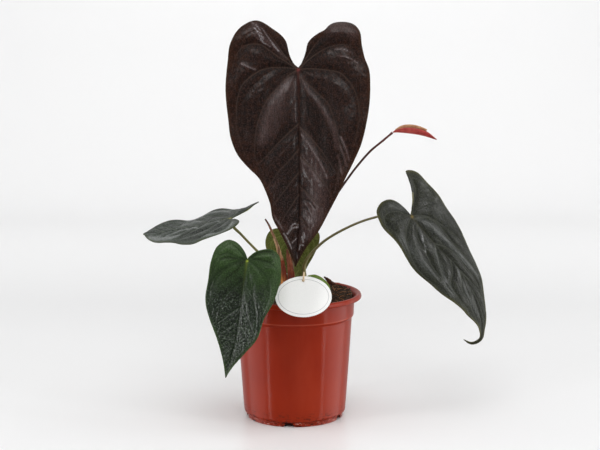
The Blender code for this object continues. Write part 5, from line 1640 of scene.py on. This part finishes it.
def bark_material():
    made, tree, shader = new_material("stem_bark", Specular_IOR_Level=0.2)
    place = object_place(tree)
    patch = cloud(place, 420, 5, 0.65)
    crack = cells(stretch(place, (1, 1, 0.5)), 700)
    colour = mix(span(patch, 0.35, 0.7), (82, 60, 40), (140, 108, 72))
    colour = mix(span(crack, 0, 0.12, 0.8, 0), colour, (48, 34, 24))
    height = patch + span(crack, 0, 0.15)
    dress(shader, colour, span(patch, 0.3, 0.7, 0.6, 0.85), height, 0.8, 0.3)
    return made


def make_crown():
    profile = [(0, CROWN_FOOT_Z), (CROWN_NECK - 2.2, CROWN_FOOT_Z + 0.4),
               (CROWN_NECK - 0.4, CROWN_FOOT_Z + 6)]
    profile += [(CROWN_NECK, z) for z in np.arange(98, CROWN_DOME_Z - 2.9, 0.5)]
    for degrees in np.arange(90, 1, -4):
        down = radians(degrees)
        profile.append((CROWN_RADIUS * sin(down),
                        CROWN_DOME_Z + CROWN_RADIUS * cos(down)))
    profile.append((0, CROWN_DOME_Z + CROWN_RADIUS))
    shape = turned(profile, 96, (CROWN_X, CROWN_Y), bark_radius)
    crown = make_object("stem_crown", *shape, [bark_material()])
    return finish_piece(crown, "crown_bark", "crown_stem")


make_crown()

# %% [markdown]
# The pot is thin moulded plastic: a turned shell with a rolled rim, a step under the collar and
# a foot ring with drain notches. The profile is the solid's own with every corner rounded, since
# a mould leaves no sharp edge, and soft corners are what catch the light.

# %% Pot sizes and profile
POT_HEIGHT = 113
POT_RIM_RADIUS = 60
POT_WALL = 1.4
POT_FLOOR = 1.6
POT_STEPS = 192
WALL_LINE = ((46.5, 14), (49.1, 52), (51.5, 90.6), (53.2, 94.2), (53.7, 107.6))
FOOT_RADIUS = 43.4
FOOT_HEIGHT = 4.4
FOOT_DISC_RADIUS = 22
CHANNEL_HEIGHT = 3.2
NOTCH_COUNT = 5
NOTCH_TURN = -96.5
NOTCH_WIDTH_LOW = 10
NOTCH_WIDTH_HIGH = 6
NOTCH_HEIGHT = 4
DRAIN_HOLE_RADIUS = 3.5
DRAIN_CIRCLE_RADIUS = 34
CORNER_RADIUS = 0.7


def pot_inside(gap):
    """The section of the pot's inner face, from the middle of its floor up, drawn in by gap."""
    ledge = CHANNEL_HEIGHT + 1.5
    floor = [
        (0, POT_FLOOR), (FOOT_DISC_RADIUS + 0.8, POT_FLOOR), (FOOT_DISC_RADIUS + 2.8, ledge),
        (FOOT_RADIUS - 2.9, ledge), (FOOT_RADIUS + 0.9, ledge + 1.7)]
    drawn = [(max(radius - 1.5 * gap, 0), height + gap) for radius, height in floor]
    return drawn + [(radius - POT_WALL - gap, height) for radius, height in WALL_LINE]


def pot_profile():
    """The pot's section from the middle of its underside, up outside, over the rim and down."""
    rim = POT_RIM_RADIUS
    top = POT_HEIGHT
    foot = FOOT_RADIUS
    disc = FOOT_DISC_RADIUS
    base = [
        (0, 0), (disc, 0), (disc + 2, CHANNEL_HEIGHT), (foot - 1.6, CHANNEL_HEIGHT),
        (foot - 1.4, 0), (foot, 0), (foot + 0.3, FOOT_HEIGHT), (foot + 2, FOOT_HEIGHT + 0.4),
        (foot + 2.4, FOOT_HEIGHT + 1.6)]
    shoulder = [(WALL_LINE[2][0] + 0.2, WALL_LINE[2][1] + 0.8),
                (WALL_LINE[3][0] - 0.3, WALL_LINE[3][1] - 1.4)]
    wall = [*WALL_LINE[:3], *shoulder, *WALL_LINE[3:]]
    lip = [
        (rim - 0.8, top - 4.6), (rim, top - 3.8), (rim, top - 2.7), (rim - 0.6, top - 0.8),
        (rim - 1.9, top), (rim - 3.4, top - 0.3), (rim - 4.8, top - 1.6)]
    return rounded(base + wall + lip + pot_inside(0)[::-1], CORNER_RADIUS)


print("points in the pot's section:", len(pot_profile()))

# %% Pot finish and pot


def plastic_material():
    made, tree, shader = new_material("terracotta_plastic_shell", Specular_IOR_Level=0.16,
                                      Coat_Weight=0.07, Coat_Roughness=0.14)
    place = object_place(tree)
    height = step(tree, "ShaderNodeSeparateXYZ", {0: place})[2]
    broad = cloud(place, 14, 3)
    haze = cloud(stretch(place, (1, 1, 0.25)), 60, 4)
    grain = cloud(place, 2200, 2)
    scuff = cloud(stretch(place, (1, 1, 3)), 240, 4, 0.7)
    colour = mix(span(broad, 0.3, 0.7), (134, 32, 8), (148, 42, 14))
    colour = mix(span(haze, 0.5, 0.75, 0, 0.25), colour, (166, 58, 34))
    # Painted highlight: a pale band just above the step under the collar, where its edge catches
    # the light.
    above = span(height, 0.0932, 0.0937)
    painted_highlight_edge = above * span(height, 0.0941, 0.0946, 0.35, 0)
    colour = mix(painted_highlight_edge, colour, (196, 98, 76))
    # Painted shade: the inside face of the wall, from the collar up to the rim, is darkened as the
    # shadowed inside of the pot.
    flat = step(tree, "ShaderNodeVectorMath", {0: place, 1: (1, 1, 0)},
                operation="MULTIPLY")[0]
    away = step(tree, "ShaderNodeVectorMath", {0: flat}, operation="LENGTH")["Value"]
    inner = away - span(height, 0.1076, 0.1115, 0.0527, 0.0552)
    inner = span(inner, -0.0004, 0, 0.8, 0) * span(height, 0.0935, 0.094)
    colour = mix(inner, colour, (62, 16, 9))
    low = span(height, 0.003, 0.016, 1, 0)
    dirt = span(scuff, 0.52, 0.62) * low
    colour = mix(dirt, colour, (44, 20, 15))
    foot = span(height, 0.002, 0.006, 1, 0)
    worn = span(scuff, 0.34, 0.42, 0.8, 0) * foot
    colour = mix(worn, colour, (212, 176, 164))
    rough = span(haze, 0.3, 0.7, 0.3, 0.38) + dirt * 0.3
    dress(shader, colour, rough, grain + dirt, 0.25, 0.06)
    return made


def drain_cutter():
    """Five notches through the foot ring and five round holes through the raised channel."""
    parts = []
    slope = (NOTCH_WIDTH_LOW - NOTCH_WIDTH_HIGH) / NOTCH_HEIGHT
    section = [(-NOTCH_WIDTH_LOW / 2 - slope / 2, -1), (NOTCH_WIDTH_LOW / 2 + slope / 2, -1),
               (NOTCH_WIDTH_HIGH / 2, NOTCH_HEIGHT), (-NOTCH_WIDTH_HIGH / 2, NOTCH_HEIGHT)]
    block = [(3, 2, 1, 0), (4, 5, 6, 7)] + [(i, (i + 1) % 4, 4 + (i + 1) % 4, 4 + i)
                                            for i in range(4)]
    for index in range(NOTCH_COUNT):
        turn = radians(NOTCH_TURN + 360 / NOTCH_COUNT * index)
        out = np.array((cos(turn), sin(turn), 0))
        side = np.array((-out[1], out[0], 0))
        corners = [out * reach + side * across + np.array((0, 0, height))
                   for reach in (FOOT_RADIUS - 4, FOOT_RADIUS + 3)
                   for across, height in section]
        parts.append((np.array(corners), block))
        middle = out[:2] * DRAIN_CIRCLE_RADIUS
        parts.append(turned([(0, 1), (DRAIN_HOLE_RADIUS, 1), (DRAIN_HOLE_RADIUS, 7),
                             (0, 7)], 32, middle))
    cutter = make_object("drain_cutter", *joined(parts), [], smooth=False)
    cutter.hide_render = True
    return cutter


def make_pot():
    pot = make_object("pot_shell", *turned(pot_profile(), POT_STEPS), [plastic_material()])
    cutter = drain_cutter()
    cut = pot.modifiers.new("drain", "BOOLEAN")
    cut.solver = "EXACT"
    cut.object = cutter
    settle(pot)
    bpy.data.objects.remove(cutter, do_unlink=True)
    pot.data.shade_smooth()
    pot.data.set_sharp_from_angle(angle=radians(40))
    return finish_piece(pot, "terracotta_plastic", "pot")


make_pot()

# %% [markdown]
# The soil is peat and bark: dark, crumbly and full of orange fibres. A plug fills the pot as
# the solid does, with a finer top that rises at the rear right. Crumbs, bark chips and fibres
# are then scattered on that top by Geometry Nodes, each with its own size, spacing and seed.

# %% Soil plug
SOIL_GAP = 0.35
SOIL_LEVEL = 103.6
SOIL_HEAP = 0.6
SOIL_HEAP_SPREAD = 0.45
SOIL_BUMP = 0.7
SOIL_SIDE_RISE = 8.5
SOIL_CRUMBS = ((0.13, 3.7, 1), (0.31, 9.1, 0.6))
SOIL_FINE = ((0.9, 21, 0.45), (2.1, 33, 0.25))
SOIL_RINGS = 46
SOIL_STEPS = 150


def soil_height(x, y):
    """Top of the soil: heaped at the stem and at the rear right, with coarse and fine crumbs."""
    away = hypot(x - CROWN_X, y - CROWN_Y) / POT_RIM_RADIUS
    heap = SOIL_HEAP * exp(-(away / SOIL_HEAP_SPREAD) ** 2)
    crumb = sum(weight * noise.noise(Vector((x * fine, y * fine, layer)))
                for fine, layer, weight in SOIL_CRUMBS + SOIL_FINE)
    side_rise = SOIL_SIDE_RISE * float(np.clip((x + 0.5 * y - 14) / 22, 0, 1))
    return SOIL_LEVEL + heap + side_rise + SOIL_BUMP * crumb


def soil_material():
    made, tree, shader = new_material("peat", Specular_IOR_Level=0.2)
    place = object_place(tree)
    lump = cloud(place, 350, 5, 0.65)
    fleck = cloud(place, 1400, 3)
    colour = mix(span(lump, 0.3, 0.7), (34, 26, 20), (70, 52, 38))
    colour = mix(span(fleck, 0.62, 0.7, 0, 0.7), colour, (122, 84, 54))
    dress(shader, colour, span(lump, 0.3, 0.7, 0.75, 0.95), fleck, 0.8, 0.4)
    return made


def make_soil_plug(material):
    hole = CROWN_NECK + SEAT_GAP
    heights = [height for _, height in WALL_LINE]
    edge = np.interp(SOIL_LEVEL, heights, [r for r, _ in WALL_LINE]) - POT_WALL - SOIL_GAP
    turns = 2 * pi * np.arange(SOIL_STEPS) / SOIL_STEPS
    around = np.column_stack((np.cos(turns), np.sin(turns)))
    below = pot_inside(SOIL_GAP)[:-1]
    rings = [np.column_stack((around * radius, np.full(SOIL_STEPS, height)))
             for radius, height in below[1:]]
    for share in np.linspace(1, 0, SOIL_RINGS):
        spots = around * (share * edge + (1 - share) * hole)
        spots = spots + (1 - share) * np.array((CROWN_X, CROWN_Y))
        rings.append(np.column_stack((spots, [soil_height(x, y) for x, y in spots])))
    foot = around * hole + np.array((CROWN_X, CROWN_Y))
    rings.append(np.column_stack((foot, np.full(SOIL_STEPS, CROWN_FOOT_Z - SEAT_GAP))))
    vertices = np.concatenate([[(0, 0, below[0][1])], *rings,
                               [(CROWN_X, CROWN_Y, CROWN_FOOT_Z - SEAT_GAP)]])
    last = len(vertices) - 1 - SOIL_STEPS
    faces = grid_faces(len(rings), SOIL_STEPS, closed=True, start=1)
    for i in range(SOIL_STEPS):
        j = (i + 1) % SOIL_STEPS
        faces += [(0, 1 + j, 1 + i), (last + i, last + j, len(vertices) - 1)]
    return make_object("soil_plug", vertices, faces, [material])


peat = soil_material()
finish_piece(make_soil_plug(peat), "potting_mix", "soil")

# %% Scatter crumbs, chips and fibres
SCATTER_EDGE = 50
SCATTER_CROWN = 10
BED_POINTS = 40
CRUMB_ROUGHNESS = 0.0016


def soil_bed():
    """A plain disc of the soil's top that scattered things are put on."""
    lines = np.linspace(-SCATTER_EDGE, SCATTER_EDGE, BED_POINTS)
    spots = [(x, y, soil_height(x, y)) for x in lines for y in lines]
    faces = []
    for face in flipped(grid_faces(BED_POINTS, BED_POINTS)):
        x, y, _ = spots[face[0]]
        if hypot(x, y) < SCATTER_EDGE and hypot(x - CROWN_X, y) > SCATTER_CROWN:
            faces.append(face)
    return spots, faces


def between(tree, low, high, seed):
    """A random row of three numbers for each point."""
    return step(tree, "FunctionNodeRandomValue", {"Min": low, "Max": high, "Seed": seed},
                data_type="FLOAT_VECTOR")[0]


def scattered(tree, given, thing, turn, size):
    """Real copies of one thing on random points of the bed."""
    points = geo(tree, "DistributePointsOnFaces",
                 {"Mesh": given[0], "Density": given["Density"], "Seed": given["Seed"]})
    things = geo(tree, "InstanceOnPoints",
                 {"Points": points, "Instance": thing, "Rotation": turn, "Scale": size})
    return geo(tree, "RealizeInstances", {"Geometry": things})


def make_crumb_tree():
    """Lumps on a bed: named inputs for how many, how large and how flat they are."""
    tree, given, result = new_tree("crumbs", [
        ("Density", "Float"), ("Smallest", "Vector"), ("Largest", "Vector"), ("Seed", "Int"),
        ("Tilt", "Float"), ("Skin", "Material")])
    size = between(tree, given["Smallest"], given["Largest"], 3)
    tilt = given["Tilt"]
    lean = tilt * -1
    low = step(tree, "ShaderNodeCombineXYZ", {"X": lean, "Y": lean})[0]
    high = step(tree, "ShaderNodeCombineXYZ", {"X": tilt, "Y": tilt, "Z": 2 * pi})[0]
    ball = geo(tree, "MeshIcoSphere", {"Radius": 1, "Subdivisions": 1})
    lumps = scattered(tree, given, ball, between(tree, low, high, 8), size)
    noisy = step(tree, "ShaderNodeTexNoise", {"Scale": 900, "Detail": 2})[1]
    shift = step(tree, "ShaderNodeVectorMath", {0: noisy, 1: (0.5, 0.5, 0.5)},
                 operation="SUBTRACT")[0]
    shift = step(tree, "ShaderNodeVectorMath", {"Vector": shift, "Scale": CRUMB_ROUGHNESS},
                 operation="SCALE")[0]
    lumps = geo(tree, "SetPosition", {"Geometry": lumps, "Offset": shift})
    close_tree(tree, result, lumps, given["Skin"])
    return tree


def make_fibre_tree():
    """Thin bent fibres on a bed."""
    tree, given, result = new_tree("fibres", [
        ("Density", "Float"), ("Length", "Float"), ("Radius", "Float"), ("Seed", "Int"),
        ("Skin", "Material")])
    arc = geo(tree, "CurvePrimitiveBezierSegment",
              {"Resolution": 9, "Start": (-0.5, 0, -0.05), "Start Handle": (-0.2, 0.25, 0.3),
               "End Handle": (0.25, -0.2, 0.3), "End": (0.5, 0.05, -0.02)})
    turn = between(tree, (-0.5, -0.5, 0), (0.5, 0.5, 2 * pi), 2)
    size = step(tree, "FunctionNodeRandomValue", {"Min": 0.4, "Max": 1, "Seed": 4})[1]
    lines = scattered(tree, given, arc, turn, size * given["Length"])
    ring = geo(tree, "CurvePrimitiveCircle", {"Resolution": 5, "Radius": given["Radius"]})
    hair = geo(tree, "CurveToMesh", {"Curve": lines, "Profile Curve": ring, "Fill Caps": True})
    close_tree(tree, result, hair, given["Skin"])
    return tree


def plain_grain_material(name, dark, light, scale):
    """Bark or fibre: two tones, streaked, dull."""
    made, tree, shader = new_material(name, Specular_IOR_Level=0.25)
    place = object_place(tree)
    patch = cloud(place, scale, 4, 0.6)
    fine = cloud(place, scale * 5, 2)
    colour = mix(span(patch, 0.35, 0.65), dark, light)
    dress(shader, colour, span(fine, 0.3, 0.7, 0.6, 0.85), fine, 0.6, 0.2)
    return made


crumb_tree = make_crumb_tree()
fibre_tree = make_fibre_tree()
bark = plain_grain_material("bark_chips_finish", (40, 26, 18), (92, 62, 42), 300)
coir = plain_grain_material("orange_fibre_finish", (104, 58, 32), (196, 134, 86), 400)
SCATTERS = (
    ("soil_crumbs", crumb_tree, peat, dict(
        Density=330000.0, Smallest=(0.5 * MM,) * 3, Largest=(2 * MM,) * 3, Seed=1, Tilt=3.0)),
    ("bark_chips", crumb_tree, bark, dict(
        Density=11000.0, Smallest=(2 * MM, 1 * MM, 0.5 * MM),
        Largest=(5 * MM, 2.6 * MM, 1.1 * MM), Seed=6, Tilt=0.5)),
    ("soil_fibres", fibre_tree, coir, dict(
        Density=30000.0, Length=12 * MM, Radius=0.15 * MM, Seed=9)),
)

# %% [markdown]
# One long sliver of bark lies across the soil and sticks up over the rim. It is a short stalk
# from the same tree, with a rough surface and a redder finish made like that of the bark chips.

# %% Bark sliver
SLIVER = [(27, 30, 120.8, 0.6), (30, 31, 118.2, 1.5), (34, 32, 114.6, 1.7),
          (38.5, 34, 111.4, 1.3), (41.5, 35, 108.5, 0.8)]
red_bark = plain_grain_material("bark_sliver_finish", (46, 20, 14), (104, 58, 40), 300)
sliver = make_stalk("bark_sliver", SLIVER, red_bark, False, count=60, bump=1.2)
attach(sliver, BODY)

# %% Scatter them
for name, tree, material, sizes in SCATTERS:
    made = make_object(name, *soil_bed(), [material])
    run_tree(made, tree, Skin=material, **sizes)
    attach(made, BODY)
    print(name, len(made.data.polygons), "faces")

# %% [markdown]
# A blank oval card hangs on the twine and leans on the rim. It is stiff white paper with a thin
# grey line printed round it. The mesh is rings between the oval and its hole, and each vertex
# stores how far it is from the edge, so the material can draw the line at an even distance.

# %% Card
CARD_STEPS = 160
CARD_RINGS = 26
CARD_LINE = 2.6
CARD_HOLE_RADIUS = 1.2


def card_material():
    made, tree, shader = new_material("card_paper", Specular_IOR_Level=0.35)
    place = flat_place(tree)
    pulp = cloud(place, 90, 5, 0.65)
    inset = stored(tree, "inset")
    off_line = maths("ABSOLUTE", inset - CARD_LINE)
    line = span(off_line, 0.1, 0.26, 0.75, 0)
    colour = mix(span(pulp, 0.3, 0.7), (244, 244, 242), (252, 252, 250))
    colour = mix(line, colour, (150, 152, 156))
    dress(shader, colour, span(pulp, 0.3, 0.7, 0.5, 0.62), pulp, 0.25, 0.05)
    return made


def make_card():
    hole_up = TAG_HEIGHT / 2 - TAG_HOLE_DROP
    turns = 2 * pi * np.arange(CARD_STEPS) / CARD_STEPS
    round_shape = np.column_stack((np.cos(turns), np.sin(turns)))
    border = round_shape * (TAG_WIDTH / 2, TAG_HEIGHT / 2)
    hole = round_shape * CARD_HOLE_RADIUS + np.array((0, hole_up))
    shares = np.linspace(0, 1, CARD_RINGS) ** 1.5
    grid = np.concatenate([(1 - s) * border + s * hole for s in shares])
    inset = np.array([np.min(np.hypot(*(border - spot).T)) for spot in grid])
    half = len(grid)
    out = [0] * half + [-TAG_THICKNESS] * half
    flat = np.concatenate((grid, grid))
    places = [tag_place(x, y, depth) for (x, y), depth in zip(flat, out)]
    faces = grid_faces(CARD_RINGS, CARD_STEPS, closed=True)
    faces += [tuple(half + i for i in face[::-1]) for face in faces]
    for j in range(CARD_STEPS):
        k = (j + 1) % CARD_STEPS
        inner = half - CARD_STEPS
        faces.append((j, half + j, half + k, k))
        faces.append((inner + k, half + inner + k, half + inner + j, inner + j))
    card = make_object("oval_card", places, faces, [card_material()],
                       {"inset": np.concatenate((inset, inset))}, flat / 100)
    card.data.set_sharp_from_angle(angle=radians(40))
    return finish_piece(card, "white_card", "tag")


make_card()

# %% [markdown]
# The plant stood on a white sweep: a floor that turns up into a wall with no edge, so the
# background fades from white into a light grey shade round the pot. Here it is one sheet, a
# line in section, swept sideways. Shiny pieces don't mirror it, so that the gloss on the pot
# and the blades comes from the lamps alone.

# %% Floor and wall
FLOOR_FRONT = -1.3
FLOOR_BACK = 1.15
SWEEP_RADIUS = 0.6
WALL_TOP = 3.2
STAGE_HALF_WIDTH = 1.3
STAGE_WHITE = (0.83, 0.83, 0.832, 1)


def make_stage():
    turns = np.linspace(0, pi / 2, 24)
    section = [(FLOOR_FRONT, 0)]
    section += [(FLOOR_BACK + SWEEP_RADIUS * sin(t), SWEEP_RADIUS * (1 - cos(t)))
                for t in turns]
    section.append((FLOOR_BACK + SWEEP_RADIUS, WALL_TOP))
    vertices = [(x, y, z) for y, z in section for x in (-STAGE_HALF_WIDTH, STAGE_HALF_WIDTH)]
    faces = [(2 * i, 2 * i + 1, 2 * i + 3, 2 * i + 2) for i in range(len(section) - 1)]
    made = new_material("white_sweep", Base_Color=STAGE_WHITE, Roughness=0.32)[0]
    stage = make_object("sweep", np.array(vertices) / MM, faces, [made])
    stage.visible_glossy = False
    stage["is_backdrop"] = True


make_stage()

# %% [markdown]
# The light is soft. A broad box stands at each side of the plant and gives the pot its paler
# flanks. A thin strip in front of each box draws one of the two upright streaks on the pot. A
# wall that stands upright mirrors what is level with it or lower, so these lamps reach below
# the floor. One lamp shines from above the camera, one hangs overhead and one lights the wall.
# The world is bright behind the plant but dim behind the camera, so the dark blades stay dark.

# %% Lamps and world
SIDE_LAMP_Z = 0.1
SIDE_LAMP_HEIGHT = 2.2
SEEN_WHITE = (0.93, 0.93, 0.93, 1)


def lamp(name, place, target, size, power, height=None):
    """A soft lamp that lights and is mirrored, but is itself left out of the picture."""
    light = bpy.data.lights.new(name, "AREA")
    light.energy = power
    light.size = size
    if height:
        light.shape = "RECTANGLE"
        light.size_y = height
    made = add_to_scene(name, light)
    made.location = place
    made.rotation_euler = (Vector(target) - Vector(place)).to_track_quat("-Z", "Y").to_euler()
    made.visible_camera = False


def side_lamp(name, azimuth, away, width, power):
    """A tall lamp round the plant. The azimuth is counted from the camera's side."""
    turn = radians(azimuth)
    place = (away * sin(turn), -away * cos(turn), SIDE_LAMP_Z)
    lamp(name, place, (0, 0, SIDE_LAMP_Z), width, power, height=SIDE_LAMP_HEIGHT)


def make_world(front, behind):
    world = bpy.data.worlds.new("studio")
    bpy.context.scene.world = world
    world.use_nodes = True
    tree = world.node_tree
    axes = step(tree, "ShaderNodeSeparateXYZ", {0: step(tree, "ShaderNodeTexCoord")["Generated"]})
    back = span(axes[1] + axes[2], -0.2, 0.7)
    shade = mix(back, (front, front, front, 1), (behind, behind, behind, 1))
    seen = step(tree, "ShaderNodeLightPath")["Is Camera Ray"]
    feed(tree.nodes["Background"].inputs["Color"], mix(seen, shade, SEEN_WHITE))


side_lamp("left_box", -91, 1.6, 1.45, 19)
side_lamp("left_strip", -57, 1.5, 0.13, 12)
side_lamp("right_box", 95, 1.6, 1.45, 24)
side_lamp("right_strip", 63, 1.5, 0.16, 11)
lamp("front_glow", (0, -1.6, 1.5), (0, 0, 0.2), 1.2, 9.5, height=0.7)
lamp("overhead", (0, -0.75, 1.9), (0, 0.05, 0.2), 1.2, 8.6)
lamp("wall_light", (0, 0.7, 0.8), (0, 1.75, 0.5), 2.4, 6.4, height=0.5)
make_world(0.08, 0.7)

# %% Measure the boxes and finish
low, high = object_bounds()
sizes = {"cad": [list(cad_low), list(cad_high)], "visual": [list(low), list(high)]}
print("visual size:", [round((h - l) / MM, 1) for l, h in zip(low, high)], "mm")
